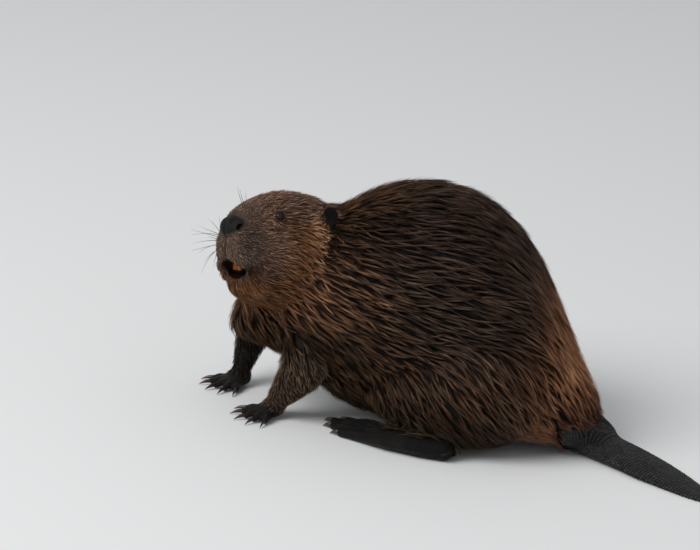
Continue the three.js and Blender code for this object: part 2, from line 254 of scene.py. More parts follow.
def weighted(obj, weights, steps=50):
    """A vertex group whose weights follow an array, in that many steps."""
    group = obj.vertex_groups.new(name="share")
    stepped = np.round(weights * steps).astype(int)
    for step in np.unique(stepped):
        group.add(np.flatnonzero(stepped == step).tolist(), float(step) / steps, "REPLACE")


def smoothed(obj, share, passes):
    """Smooths a mesh, each vertex by its own share, passes times over."""
    weighted(obj, share)
    modified(obj, "SMOOTH", factor=1.0, iterations=passes, vertex_group="share")
    obj.vertex_groups.clear()


# ---- simple solids ----
def closed_tube(name, rings, ends=None):
    """A closed mesh through rings of places, capped to the place of each end, or flat without them."""
    count, sides = rings.shape[:2]
    places = np.concatenate([rings.reshape(-1, 3), rings[[0, -1]].mean(axis=1) if ends is None else ends])
    step = np.arange(sides)
    after = (step + 1) % sides
    faces = []
    for a in range(0, (count - 1) * sides, sides):
        b = a + sides
        faces += np.stack([a + step, a + after, b + after, b + step], axis=1).tolist()
    end = (count - 1) * sides
    faces += np.stack([after, step, step * 0 + count * sides], axis=1).tolist()
    faces += np.stack([end + step, end + after, step * 0 + count * sides + 1], axis=1).tolist()
    tube = bmesh.new()
    for place in places.tolist():
        tube.verts.new(place)
    tube.verts.ensure_lookup_table()
    for face in faces:
        tube.faces.new([tube.verts[k] for k in face])
    bmesh.ops.recalc_face_normals(tube, faces=tube.faces)
    return new_object(name, written(tube, bpy.data.meshes.new(name)))


def ellipsoid(middle, radii, segments=24, rings=14):
    """A closed ball stretched along the head's own axes, given in its frame, in mm."""
    turns, falls = np.meshgrid(around(segments) + np.pi / 2, np.linspace(0, np.pi, rings + 1))
    ball = [np.sin(falls) * np.cos(turns), np.sin(falls) * np.sin(turns), np.cos(falls)]
    places = from_head((np.stack(ball, axis=2) * radii + middle) * MM)
    return closed_tube("ball", places[1:-1], places[[0, -1], 0])


def absorb(obj, others):
    """Puts other objects' meshes into one."""
    whole = bmesh.new()
    whole.from_mesh(obj.data)
    for other in others:
        whole.from_mesh(other.data)
        bpy.data.objects.remove(other)
    written(whole, obj.data)


def cut(obj, tool):
    modified(obj, "BOOLEAN", object=tool, operation="DIFFERENCE", solver="MANIFOLD")
    bpy.data.objects.remove(tool)


# ---- skin ----
SWELL = 0.5 * MM  # closes the thin gaps between the solids
VOXEL = 1.5 * MM
BARE_DEPTH = 0.2 * MM
COAT_DEPTH = {"trunk": 10.5, "hind_leg_": 9.5, "neck": 8.5, "tail_base": 7}  # in mm
# How much of the way a pass of smoothing takes the skin: the body, the face and legs, the small parts.
SOFT, FIRM, CRISP = 0.6, 0.2, 0.02
SMOOTHING_PASSES = 170
INSET_STEPS = 4
KEPT_FACES = 0.3  # the share of its faces that the skin keeps
FINE_FACES = 0.93  # how far the small parts are spared from that

LID_RADIUS = 7.3
EYE_RADIUS = 6.4
EYE_ROOM = 0.15  # between the eyeball and its socket
EYE_OPENING = (5.1, 4.3, 11)  # half its width and height, and how far out the tool reaches
EYE_FACING = unit(np.array([0.86, -0.42, 0.22]))
# Soft forms that are added to the skin, each a middle and its radii, in the head's frame, in mm.
MOUTH_CORNER = (np.array([17, 56, -56]), np.array([16, 23, 14]))
LIP_FOLDS = [  # the right lip hangs a little lower, to the chin
    (np.array([-20, 15, -55]), np.array([5, 9, 9])),
    (np.array([-19.5, 23, -66]), np.array([4.5, 9, 10])),
]
NOSTRIL = np.array([19.5, 8.5, -2.0])

# Where the short hair of each foot ends, in mm, and the way its toes point.
TOES = {
    "forepaw_left": ((86, -264), (0.67, -0.74)),
    "forepaw_right": ((-14, -329), (0.77, -0.64)),
    "hind_foot_left": ((136, -40), (-0.34, -0.94)),
    "hind_foot_right": ((-136, -40), (0.29, -0.96)),
}
SOLE = 7 * MM  # below this a foot is bare
HEEL = {"left": (135.9, 7.0), "right": (-136.1, 7.0)}  # where the bones of the hind foot fan out from


def coat_depth(places, part_of):
    """How far the skin lies inside the tips of the coat."""
    depth = np.full(len(places), 0.3 * MM)
    for part, deep in COAT_DEPTH.items():
        depth[among(part_of, part)] = deep * MM
    foreleg = among(part_of, "foreleg_")
    depth[foreleg] = (2.5 + 4.5 * ramp(0.02, 0.14, places[foreleg, 2])) * MM
    head = among(part_of, "head", "lower_jaw")
    _, back, up = in_head(places).T
    throat = ramp(0.07, 0.14, back) * ramp(0.02, -0.02, up)
    face = (1.2 + 1.8 * ramp(0.03, 0.09, back) + 3.5 * throat) * MM
    face += 2 * MM * ramp(0.09, 0.15, back)
    for ear in EARS.values():
        face = np.minimum(face, 2.2 * MM + 0.4 * np.maximum(distance(places, ear) - 15 * MM, 0))
    depth[head] = face[head]
    depth[among(part_of, "lower_jaw")] += 1.5 * MM
    depth[among(part_of, "ear_")] = 0.9 * MM
    return depth


def above_toes(places):
    """How far a place is short of the end of its foot's hair; less than 0 on the toes and the sole."""
    nearest, best = np.full(len(places), -1.0), np.full(len(places), np.inf)
    for end, way in TOES.values():
        away = places[:, :2] - np.array(end) * MM
        far = np.linalg.norm(away, axis=1)
        nearest = np.where(far < best, np.minimum(-(away @ way), places[:, 2] - SOLE), nearest)
        best = np.minimum(best, far)
    return nearest


def voxel_shell(name, nodes, voxel):
    """One closed shell around several solids."""
    whole = bmesh.new()
    for node in nodes:
        part = bmesh.new()
        part.from_mesh(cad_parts[node].data)
        bmesh.ops.remove_doubles(part, verts=part.verts, dist=1e-6)
        bmesh.ops.recalc_face_normals(part, faces=part.faces)
        part.normal_update()
        for vertex in part.verts:
            vertex.co += vertex.normal * SWELL
        copy = written(part, bpy.data.meshes.new(node))
        whole.from_mesh(copy)
        bpy.data.meshes.remove(copy)
    shell = new_object(name, written(whole, bpy.data.meshes.new(name)))
    return modified(shell, "REMESH", mode="VOXEL", voxel_size=voxel)


def first_softness(places, part_of, edges):
    """How much each place is smoothed before the skin is drawn in."""
    share = np.full(len(places), SOFT)
    share[among(part_of, *DELICATE)] = CRISP
    share[among(part_of, "foreleg_", "head", "lower_jaw")] = FIRM
    tail_root = ramp(0.17, 0.195, places[:, 1]) * ramp(0.262, 0.22, places[:, 1])
    share = np.maximum(share, SOFT * tail_root)
    _, back, up = in_head(places).T
    lips = ramp(0.075, 0.05, back) * ramp(-0.02, -0.034, up) * among(part_of, "head", "lower_jaw")
    share *= 1 - 0.8 * lips
    return evened(share, edges, 8)


def make_skin():
    """One skin round all the solids of flesh: smoothed, and drawn in by the coat's depth."""
    made = voxel_shell("skin", FLESH, VOXEL)
    places, edges = mesh_arrays(made.data)
    part_of = nearest_part(places)
    share = first_softness(places, part_of, edges)
    smoothed(made, share, SMOOTHING_PASSES)
    depth = coat_depth(places, part_of)
    bare = among(part_of, *BARE)
    for _ in range(8):
        depth = evened(depth, edges, 5)
        depth[bare] = np.minimum(depth[bare], BARE_DEPTH)
    for _ in range(INSET_STEPS):
        normals = unit(evened(vertex_normals(made.data), edges, 2))
        places = mesh_arrays(made.data)[0]
        set_places(made.data, places - normals * depth[:, None] / INSET_STEPS)
        smoothed(made, share, 3)
    added = [ellipsoid(in_head(eye) / MM, LID_RADIUS) for eye in EYES.values()]
    added += [ellipsoid(MOUTH_CORNER[0] * MIRROR[side], MOUTH_CORNER[1]) for side in SIDES]
    absorb(made, added + [ellipsoid(*fold) for fold in LIP_FOLDS])
    modified(made, "REMESH", mode="VOXEL", voxel_size=1.2 * VOXEL)
    places, edges = mesh_arrays(made.data)
    part_of = nearest_part(places)
    smoothed(made, evened(np.where(among(part_of, *DELICATE), SOFT / 2, SOFT), edges, 4), 4)
    fine = among(part_of, "head", "lower_jaw", *DELICATE).astype(float)
    weighted(made, 1 - FINE_FACES * evened(fine, edges, 10))
    modified(made, "DECIMATE", ratio=KEPT_FACES, use_collapse_triangulate=True, vertex_group="share")
    made.vertex_groups.clear()
    refine_face(made.data)
    shape_face(made.data)
    shape_feet(made.data)
    return open_face(made)


def refine_face(mesh):
    """Finer faces where the nose, the lips and the lids are."""
    fine = bmesh.new()
    fine.from_mesh(mesh)
    places, _ = mesh_arrays(mesh)
    _, back, up = in_head(places).T
    near_eye = np.min([distance(places, eye) for eye in EYES.values()], axis=0)
    wanted = ((back < 0.042) & (back > -0.01) & (up > -0.1)) | (near_eye < 0.013)
    fine.verts.ensure_lookup_table()
    edges = [e for e in fine.edges if wanted[e.verts[0].index] and wanted[e.verts[1].index]]
    bmesh.ops.subdivide_edges(fine, edges=edges, cuts=1, use_grid_fill=True, smooth=0.3)
    bmesh.ops.triangulate(fine, faces=[f for f in fine.faces if len(f.verts) > 3])
    written(fine, mesh)


def bulge(local, middle, reach):
    """1 at a place in the head's frame, in mm, fading to 0 about reach mm away on both sides."""
    away = (np.abs(local[:, :1]) * [[1, 0, 0]] + local * [[0, 1, 1]]) / MM - middle
    return np.exp(-((away / reach) ** 2).sum(1))


# Forms raised, or sunk, on both sides of the face: how far, the middle and the reach, in mm.
FACE_FORMS = [
    (2.0, NOSTRIL + [2, 3, 1], 6.5),  # the wing of the nostril
    (0.8, [5, 1, 0], [4, 6, 9]),  # the pad beside its groove
    (-1.5, [12, 4, 3], [3.2, 6, 6]),  # the dip before the nostril
    (-1.2, [14, 12, 10], [10, 5, 4]),  # the dip above the pad
    (2.4, [15, 9, -26], [11, 12, 10]),  # the whisker pad
    (1.5, [31, 60, 26], [9, 12, 6]),  # the brow
    (0.9, [33, 52, 4], [6, 10, 5]),  # the fold below the eye
    (-1.0, [31, 50, 10], [6, 8, 3]),  # and the crease above it
    (-0.8, [10, 3, -17], [9, 9, 2.2]),  # the line below the pad
]
EAR_CUSHION = (4.5, [54, 128, 0], [12, 15, 15])
EAR_CUP = 3.2  # its depth in mm


def shape_face(mesh):
    """Sculpts the nose, the whisker pads, the lips, the brows, the folds by the eyes and the ears' cups."""
    places, _ = mesh_arrays(mesh)
    local = in_head(places)
    side, back, up = local.T / MM
    out = sum(far * bulge(local, middle, reach) for far, middle, reach in FACE_FORMS)
    far, middle, reach = EAR_CUSHION
    out += far * bulge(local, middle, reach) * ~among(nearest_part(places), "ear_")
    groove = ramp(16, 4, back) * ramp(-47, -40, up) * ramp(12, 2, up)
    out -= 2.2 * hill(side / 1.5) * groove
    out += 1.1 * hill((up + 43) / 3.5) * ramp(42, 30, back) * (np.abs(side) > 4)  # the upper lip
    set_places(mesh, places + vertex_normals(mesh) * (out * MM)[:, None])
    places, _ = mesh_arrays(mesh)
    normals = vertex_normals(mesh)
    for ear_side, ear in EARS.items():
        facing = unit(np.array([0.55, -0.8, 0.1]) * MIRROR[ear_side]) @ HEAD_AXES
        cup = hill(distance(places, ear) / 0.0085) * ramp(0.1, 0.6, normals @ facing)
        places -= facing * (EAR_CUP * MM * cup)[:, None]
    set_places(mesh, places)


def shape_feet(mesh):
    """Raises the long bones and toes of the hind feet, and sinks the skin and the webs between them."""
    places, _ = mesh_arrays(mesh)
    part_of = nearest_part(places)
    normals = vertex_normals(mesh)
    out = np.zeros(len(places))
    for side, mirror in (("left", 1), ("right", -1)):
        way = np.array(TOES[f"hind_foot_{side}"][1])
        away = places[:, :2] / MM - HEEL[side]
        along = away @ way
        across = away @ np.array([-way[1], way[0]]) * mirror
        fan = np.clip((along - 10) / 88, 0, 1)  # from the heel to where the toes part
        beyond = np.maximum(along - 98, 0)
        middle = 3 + 5 * fan - 0.087 * beyond
        toe = (across - middle) / (3 + 9 * fan + 0.07 * beyond)
        ridges = np.cos(2 * np.pi * np.clip(toe, -2.5, 2.5))
        height = 0.7 * ramp(25, 70, along) + 1.1 * ramp(90, 120, along)
        out += (ridges - 0.3) * (height * ramp(0.0, 0.5, normals[:, 2])) * among(part_of, f"hind_foot_{side}")
    set_places(mesh, places + normals * (out * MM)[:, None])


def eye_facing(side):
    return (EYE_FACING * MIRROR[side]) @ HEAD_AXES


def almond(eye, facing, width, height, depth):
    """A closed almond-shaped tool that opens the lids of one eye."""
    head_up = np.array([0, 0, 1]) @ HEAD_AXES
    over = unit(head_up - facing * (facing @ head_up))
    across = np.cross(over, facing)
    turns = around(28)
    outline = across * (np.cos(turns) * width)[:, None]
    rise = np.sign(np.sin(turns)) * np.abs(np.sin(turns)) ** 1.15 * height
    outline = outline + over * rise[:, None]
    reaches = ((0.55, 0), (0.75, LID_RADIUS * 0.6), (1.12, depth))
    rings = [eye + (outline * size + facing * far) * MM for size, far in reaches]
    return closed_tube("almond", np.stack(rings))


def nostril(side):
    """A slanting comma-shaped pit in the side of the nose pad."""
    turns = around(14)
    inward = unit(np.array([-0.75, 0.62, 0.05]))
    along = unit(np.array([0.2, 0.45, 0.85]))
    across = np.cross(inward, along)
    rings = []
    for far, size in ((-7, 1.5), (-3, 1.35), (0, 1.0), (3, 0.8), (5.5, 0.5)):
        ring = along * (np.cos(turns) * 5.4 * size)[:, None] + across * (np.sin(turns) * 3.3 * size)[:, None]
        ring = ring + across * (0.22 * (np.cos(turns) * 2) ** 2)[:, None]
        rings.append((NOSTRIL + inward * far + ring) * MIRROR[side])
    return closed_tube("nostril", from_head(np.array(rings) * MM))


def open_face(made):
    """Cuts the openings of the lids, room for the eyes, and the nostrils."""
    for side, eye in EYES.items():
        cut(made, ellipsoid(in_head(eye) / MM, EYE_RADIUS + EYE_ROOM, 32, 20))
        cut(made, almond(eye, eye_facing(side), *EYE_OPENING))
        cut(made, nostril(side))
    return made


skin = make_skin()


# ---- the skin's own fields: markings, and the lie, length and depth of the coat ----
def as_linear(red, green, blue):
    """A colour written 0 to 255 on a screen's scale, as linear light."""
    return (np.array([red, green, blue]) / 255) ** 2.2


def painted(ground, layers):
    """Colours with others laid over them, each by its own share, in turn."""
    for colour, share in layers:
        ground = blended(ground, as_linear(*colour), share)
    return ground


def off_pad(places):
    """Below 1 on the leather of the nose, which wraps round the muzzle's front."""
    side, back, up = in_head(places).T / MM
    low = np.minimum(up + 1, 0)
    return np.maximum(np.hypot(side / (24.5 + 0.35 * low), (up + 1) / 14), back / 17)


def in_mouth(places):
    side, back, up = in_head(places).T / MM
    reach = 17.0 + 0.12 * np.maximum(back - 20, 0)
    lip = 9 + 13 * ramp(-54, -66, up)
    return (back < 46) & (back > lip) & (np.abs(side) < reach) & (up < -45.5) & (up > -76)


def head_markings(places, part_of):
    """The colours of the head: a greyish crown, warm cheeks, and dark lids, ears, pad and mouth."""
    local = in_head(places)
    side, back, up = local.T
    layers = [
        ((140, 99, 68), ramp(0.045, 0.09, back) * ramp(0.02, -0.01, up) * ramp(-0.085, -0.06, up)),
        ((198, 142, 106), ramp(0.08, 0.115, back) * ramp(0.02, -0.01, up)),  # behind the cheek
        ((119, 100, 87), ramp(0.048, 0.026, back)),  # muzzle
        ((129, 91, 65), ramp(-0.055, -0.075, up)),  # jaw
        ((58, 44, 34), 0.85 * bulge(local, [24, 33, -60], [10, 12, 11])),  # corner of the mouth
    ]
    for eye_side, eye in EYES.items():
        away = places - eye
        ahead = eye_facing(eye_side)
        off_axis = np.linalg.norm(np.cross(away, ahead), axis=1)
        lids = ramp(0.0066, 0.0056, off_axis) * (away @ ahead > 0)
        layers.append(((38, 30, 25), lids * (np.linalg.norm(away, axis=1) < 0.012)))
    groove = hill(side / 0.0013) * ramp(0.016, 0.01, back) * ramp(-0.047, -0.04, up)
    layers += [
        ((26, 23, 20), among(part_of, "ear_")),
        ((20, 19, 18), ramp(1.08, 0.94, off_pad(places))),
        ((24, 18, 15), groove),
        ((34, 22, 18), in_mouth(places)),
    ]
    return painted(as_linear(152, 119, 101), layers)


def markings(places, part_of):
    """The colour of the coat's outer ends, and of the bare leather."""
    x, y, z = places.T
    foreleg = among(part_of, "foreleg_").astype(float)
    haunch = among(part_of, "hind_leg_") * ramp(0.07, 0.11, z) * ramp(0.1, 0.05, y)
    chest = ramp(-0.24, -0.29, y) * ramp(0.24, 0.2, z) * ramp(0.14, 0.18, z)
    layers = [
        ((128, 93, 69), ramp(-0.09, -0.2, y) * ramp(0.12, 0.18, z) * ramp(0.3, 0.23, z)),  # shoulder, painted paler as a highlight
        ((60, 43, 32), ramp(0.16, 0.08, z) * ramp(0.08, 0.0, y)),  # lower flank
        ((72, 54, 39), ramp(-0.02, -0.1, y) * ramp(0.17, 0.13, z)),  # side of the breast
        ((75, 60, 51), ramp(0.22, 0.3, z) * ramp(0.1, 0.0, y)),  # back
        ((76, 56, 42), ramp(-0.07, -0.16, y) * ramp(0.23, 0.28, z)),  # nape
        ((180, 126, 91), ramp(0.05, 0.15, y)),  # rump
        ((92, 65, 52), ramp(0.08, 0.15, y) * ramp(0.125, 0.085, z)),  # foot of the rump
        ((96, 64, 38), chest),
        ((104, 80, 64), 0.85 * haunch),
        ((57, 46, 35), ramp(0.085, 0.045, z) * ramp(0.1, 0.0, y)),  # belly
        ((115, 95, 78), foreleg * ramp(0.17, 0.12, z)),
        ((56, 46, 38), foreleg * ramp(0.2, 0.15, z) * (x < 0.015)),  # the right foreleg is painted darker: painted shade on the far leg
    ]
    colour = painted(as_linear(78, 63, 54), layers)
    colour = blended(colour, head_markings(places, part_of), among(part_of, *FACE, "ear_"))
    leathers = (((44, 43, 42), "tail"), ((29, 26, 23), "forepaw_"), ((24, 21, 19), "hind_foot_"))
    return painted(colour, [(shade, among(part_of, part)) for shade, part in leathers])


LIE = {  # which way the hair of a part points: to the left, back and up
    "hind_leg_": (0, 0.75, -0.7),
    "foreleg_": (0, 0.4, -1),
    "tail_base": (0.25, 1, -0.2),
    "neck": (-0.2, 0.9, -0.35),
}
LIE.update({foot: (*way, -0.25) for foot, (_, way) in TOES.items()})


def lie_of_coat(places, part_of):
    """Which way the hair points, before it is laid along the skin."""
    x, y, z = places.T
    down = 0.08 + 0.75 * ramp(-0.1, -0.28, y) + 0.45 * ramp(0.17, 0.06, z) + 0.5 * ramp(0.04, 0.17, y)
    lie = np.stack([0 * x, 1 + 0 * y, -down], axis=1)
    for part, way in LIE.items():
        lie[among(part_of, part)] = way
    local = in_head(places)
    from_nose = unit(local - np.array([0, -4, -6]) * MM)
    side, back, up = local.T
    drop = ramp(0.05, 0.12, back) * ramp(0.025, -0.02, up)
    away = np.stack([0.25 * np.clip(side / 0.05, -1, 1), 1 + 0 * back, -0.65 * drop], axis=1)
    face = blended(from_nose, unit(away), ramp(0.03, 0.065, back))
    on_head = among(part_of, *FACE)
    lie[on_head] = (face @ HEAD_AXES)[on_head]
    lie[among(part_of, "ear_")] = np.array([0, 0.5, 1]) @ HEAD_AXES
    for eye in EYES.values():
        lie = unit(lie) + 1.6 * hill(distance(places, eye) / 0.011)[:, None] * unit(places - eye)
    return unit(lie)


TRUNK_LENGTH = 47.0
COAT_LENGTH = {"hind_leg_": 40, "neck": 32, "tail_base": 26}
SHORTEST = 3.5  # beside the lids and before the ears


def coat_length(places, part_of):
    _, y, z = places.T
    _, back, up = in_head(places).T
    length = np.full(len(places), TRUNK_LENGTH)
    for part, long in COAT_LENGTH.items():
        length[among(part_of, part)] = long
    overhang = np.maximum(z - FUR_LINE[1], FUR_LINE[0] - y) / MM * 0.75 + 9
    length = np.where((y > 0.09) & (z < 0.13), np.clip(overhang, 8, length), length)
    length -= 20 * np.maximum(ramp(-0.03, -0.1, y) * ramp(0.17, 0.13, z), ramp(-0.22, -0.28, y))
    foreleg = among(part_of, "foreleg_")
    length[foreleg] = (8.5 + 12 * ramp(0.05, 0.17, z))[foreleg]
    head = among(part_of, *FACE)
    face = 5.0 + 8 * ramp(0.025, 0.07, back) + 12 * ramp(0.08, 0.15, back)
    face += 5 * ramp(0.05, 0.09, back) * ramp(0.01, -0.03, up)
    face += 13 * ramp(-0.06, -0.08, up)
    length[head] = 1.15 * face[head]
    length[among(part_of, "ear_")] = 4
    length[among(part_of, *TOES)] = 6
    for side in SIDES:
        near = distance(places, EYES[side]) / MM
        length = np.minimum(length, SHORTEST + np.maximum(near - LID_RADIUS, 0) * 0.9)
        before = in_head(EARS[side])[1] - back > -0.004
        near = np.linalg.norm((places - EARS[side]) @ HEAD_AXES.T * [1, 1, 0.6], axis=1) / MM
        by_ear = np.minimum(length, SHORTEST + np.maximum(near - 18, 0) * 0.8)
        length = np.where(before, by_ear, length)
    return length * MM


class Skin:
    """The finished skin as arrays, with the fields that the coat reads."""

    def __init__(self, obj):
        self.places, self.edges = mesh_arrays(obj.data)
        self.normals = vertex_normals(obj.data)
        self.corners = triangle_corners(obj.data)
        self.part_of = nearest_part(self.places)
        self.tree = BVHTree.FromPolygons(self.places.tolist(), self.corners.tolist())
        a, b, c = (self.places[self.corners[:, k]] for k in range(3))
        self.areas = np.linalg.norm(np.cross(b - a, c - a), axis=1) / 2
        lie = self.field(lie_of_coat, 20)
        self.lie = unit(lie - self.normals * (lie * self.normals).sum(1)[:, None])
        self.soft_normals = unit(evened(self.normals, self.edges, 12))
        self.length = self.field(coat_length, 10)
        self.depth = self.field(coat_depth, 10)
        self.tint = self.field(markings, 6)

    def field(self, rule, passes):
        return evened(rule(self.places, self.part_of), self.edges, passes)

    def at(self, field, triangles, weights):
        corners = field.reshape(len(self.places), -1)[self.corners[triangles]]
        return np.einsum("nk,nkd->nd", weights, corners)

    def snapped(self, places):
        """The nearest places on the skin, with the triangles that they are on."""
        found = [self.tree.find_nearest(p) for p in places.tolist()]
        return np.array([f[0] for f in found]), np.array([f[2] for f in found])


body = Skin(skin)
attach(skin, "root")
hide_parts(*FLESH)

# ---- coat ----
# Area of the coat: its parts, the distance between locks, hairs to a lock, steps along a hair, hair width.
COAT_AREAS = {
    "trunk": (("trunk", "tail_base"), 6.5, 10, 3, 0.95),
    "haunches": (("hind_leg_",), 5.8, 10, 3, 0.85),
    "neck": (("neck",), 5.0, 10, 3, 0.8),
    "forelegs": (("foreleg_",), 3.5, 8, 2, 0.6),
    "head": (("head", "lower_jaw"), 3.3, 11, 3, 0.6),
    "muzzle": (FACE, 1.85, 7, 2, 0.44),
    "ears": (("ear_",), 1.5, 6, 2, 0.42),
    "feet": (FEET, 2.6, 4, 2, 0.45),
}
MUZZLE_BACK = 46 * MM  # the short, close hair of the muzzle and chin ends this far behind the nose
# How high the tips of the locks stand, as shares of the coat's depth.
EVEN_RISE = (0.78, 1.2)
RISE = {"head": (0.7, 1.8), "muzzle": (0.8, 1.4)}
# How wide a hair is at each step from its root, for each number of steps.
HAIR_SHAPE = {2: (0.8, 1.0), 3: (0.75, 1.0, 0.62)}
STRAY_HAIRS = 0.12  # the share that stands out of its lock
ROOT_SINK = 0.9 * MM  # a hair starts this far inside the skin
ROOTS = {"head": 0.2, "muzzle": 0.4}  # the short hair of the head gets less of the painted shade at its roots
PATCH = 0.003  # a hair's own patch of the unwrap
MOST_FACES = 190_000  # in one piece
LID_EDGE = math.cos(math.radians(41))  # the lids' opening, seen from the middle of the eye


def is_furred(places, part_of):
    """Where hair grows: not on bare leather, lips or lids."""
    grows = ~among(part_of, "nose", "tail")
    grows &= ~(among(part_of, *FEET) & (above_toes(places) < 0))
    for side, eye in EYES.items():
        away = places - eye
        opening = unit(away) @ eye_facing(side) > LID_EDGE
        grows &= ~(opening & (np.linalg.norm(away, axis=1) < (LID_RADIUS + 1.2) * MM))
    bare = in_mouth(places) | (off_pad(places) < 1)
    return grows & ~(bare & among(part_of, *FACE))


def spread_out(random, weights, spacing):
    """Places on the skin at least spacing apart, as triangles and their corner weights."""
    share = body.areas * weights
    tries = int(4.5 * share.sum() / spacing**2)
    triangles = random.choice(len(share), tries, p=share / share.sum())
    u, v = random.random((2, tries))
    u, v = np.where(u + v > 1, 1 - u, u), np.where(u + v > 1, 1 - v, v)
    corner_weights = np.stack([1 - u - v, u, v], axis=1)
    points = body.at(body.places, triangles, corner_weights)
    cells = np.floor(points / spacing).astype(int).tolist()
    nearby = [(i, j, k) for i in (-1, 0, 1) for j in (-1, 0, 1) for k in (-1, 0, 1)]
    least = spacing**2
    taken, kept = {}, []
    for index, (cell, p) in enumerate(zip(cells, points.tolist())):
        if all(
            (p[0] - q[0]) ** 2 + (p[1] - q[1]) ** 2 + (p[2] - q[2]) ** 2 >= least
            for i, j, k in nearby
            for q in taken.get((cell[0] + i, cell[1] + j, cell[2] + k), ())
        ):
            taken.setdefault(tuple(cell), []).append(p)
            kept.append(index)
    return triangles[kept], corner_weights[kept]


def locks(random, parts, spacing, steps):
    """Every lock's depth and tint, and its middle line: places and frames along it, on the skin."""
    furred = is_furred(body.places, body.part_of) & among(body.part_of, *parts)
    if "head" in parts:
        furred &= (in_head(body.places)[:, 1] < MUZZLE_BACK) == ("nose" in parts)
    weights = (furred[body.corners].sum(1) >= 2).astype(float)
    roots = spread_out(random, weights, spacing)
    place = body.at(body.places, *roots)
    length = body.at(body.length, *roots)[:, 0] * random.uniform(0.78, 1.2, len(place))
    swing = random.normal(0, 0.16, len(place))
    lie, normal = body.at(body.lie, *roots), body.at(body.soft_normals, *roots)
    line = []
    for step in range(steps + 1):
        normal = unit(normal)
        lie = unit(lie - normal * (lie * normal).sum(1)[:, None])
        heading = unit(lie + np.cross(normal, lie) * swing[:, None])
        line.append((place, normal, heading, np.cross(normal, heading)))
        if step < steps:
            place, on = body.snapped(place + heading * (length / steps)[:, None])
            thirds = np.full((len(on), 3), 1 / 3)
            lie = body.at(body.lie, on, thirds)
            normal = body.at(body.soft_normals, on, thirds)
    depth, tint = body.at(body.depth, *roots)[:, 0], body.at(body.tint, *roots)
    return depth, tint, [np.stack(kind) for kind in zip(*line)]


def hairs(random, depth, tint, line, spacing, per_lock, steps, width, rises):
    """Closed three-sided pointed hairs, gathered into locks: their places, tints and shares along."""
    places, normals, headings, acrosses = line
    lock_count = places.shape[1]
    count = lock_count * per_lock
    lock = np.repeat(np.arange(lock_count), per_lock)
    turn, far = random.uniform(0, 2 * np.pi, count), np.sqrt(random.random(count))
    off_side = np.cos(turn) * far * spacing * 0.6
    off_along = np.sin(turn) * far * spacing * 0.9
    stray = random.random(count) < STRAY_HAIRS
    gather = np.where(stray, random.uniform(0.1, 0.6, count), random.uniform(0.82, 1.0, count))
    rise = random.uniform(*rises, lock_count)[lock] * random.uniform(0.9, 1.08, count)
    wave = random.uniform(0.3, 1.4, lock_count) * spacing * 0.2
    phase = random.uniform(0, 2 * np.pi, lock_count)
    bend = random.normal(0, 0.34, lock_count) * spacing
    reach = random.uniform(0.75, 1.08, count)
    drift = random.normal(0, 0.1, count) * spacing
    middle = 1 - np.abs(off_side) / (0.6 * spacing)
    thick = width * random.uniform(0.7, 1.2, count) * np.where(stray, 0.6, 1)
    depth = depth[lock]
    stray_rise = rise * random.uniform(1.0, 1.3, count) + random.uniform(0, 1.8 * MM, count) / depth
    rise = np.where(stray, stray_rise, rise)
    rings = []
    for step in range(steps + 1):
        t = step / steps
        base = places[step][lock]
        if step:
            base = places[step - 1][lock] + (base - places[step - 1][lock]) * reach[:, None]
        sway = (wave * np.sin(2 * np.pi * 0.9 * t + phase) * t + bend * t * t)[lock] + drift * t
        height = depth * (rise * t**0.75 - 0.34 * t * (1 - middle)) - ROOT_SINK * (1 - t)
        closing = 1 - gather * min(1.0, 1.35 * t) ** 0.8
        side, out = acrosses[step][lock], normals[step][lock]
        path = base + side * (off_side * closing + sway)[:, None]
        path = path + headings[step][lock] * off_along[:, None] + out * height[:, None]
        if step == steps:
            rings.append(path[:, None])
            break
        wide = (thick * HAIR_SHAPE[steps][step] / 2)[:, None]
        rings.append(np.stack([path - side * wide, path + side * wide, path + out * wide * 0.95], axis=1))
    corners = np.concatenate(rings, axis=1)
    floor = 0.3 * MM + random.uniform(0, 0.8, count)[:, None] * MM
    ridge = np.array([0, 0, 0.3] * steps + [0.1]) * MM  # keeps a hair that lies on the floor solid
    corners[..., 2] = np.maximum(corners[..., 2], floor + ridge)
    along = np.array([t / steps for t in range(steps) for _ in range(3)] + [1.0])
    lock_shade = random.normal(1, 0.28, lock_count)[lock]
    # Hairs in the middle of a lock are painted paler and those at its sides darker: a painted highlight on
    # each lock's ridge and painted shade at its edges. The lock's and the hair's own random factors are
    # random tone.
    shade = lock_shade * random.normal(1, 0.34, count) * (0.1 + 2.3 * middle**1.5)
    warm = 1 + random.normal(0, 0.09, count)[:, None] * np.array([1, 0.1, -0.6])
    return corners, tint[lock] * np.clip(shade, 0.06, 3.6)[:, None] * warm, along


def hair_faces(steps):
    """The corner numbers of one hair's faces: quads along it, then the triangles at its tip and root."""
    starts = range(0, 3 * (steps - 1), 3)
    quads = [(a + k, a + (k + 1) % 3, a + 3 + (k + 1) % 3, a + 3 + k) for a in starts for k in range(3)]
    last = 3 * (steps - 1)
    ends = [(last + k, last + (k + 1) % 3, 3 * steps) for k in range(3)] + [(2, 1, 0)]
    return np.array(quads), np.array(ends)


def unwrapped(places, parts):
    """Each place on an unwrap of the skin: round the body's long axis, or round the head's."""
    if parts[0] in ("head", "ear_"):
        side, back, up = in_head(places).T
        turn = np.arctan2(side, up + 0.02) / (2 * np.pi) + 0.5
        return np.stack([0.02 + 0.3 * turn, 0.05 + 4 * (back + 0.02)], axis=1)
    x, y, z = places.T
    turn = np.arctan2(x, z - 0.13) / (2 * np.pi) + 0.5
    return np.stack([0.36 + 0.6 * turn, np.clip(0.5 + y * 1.1, 0.02, 0.97)], axis=1)


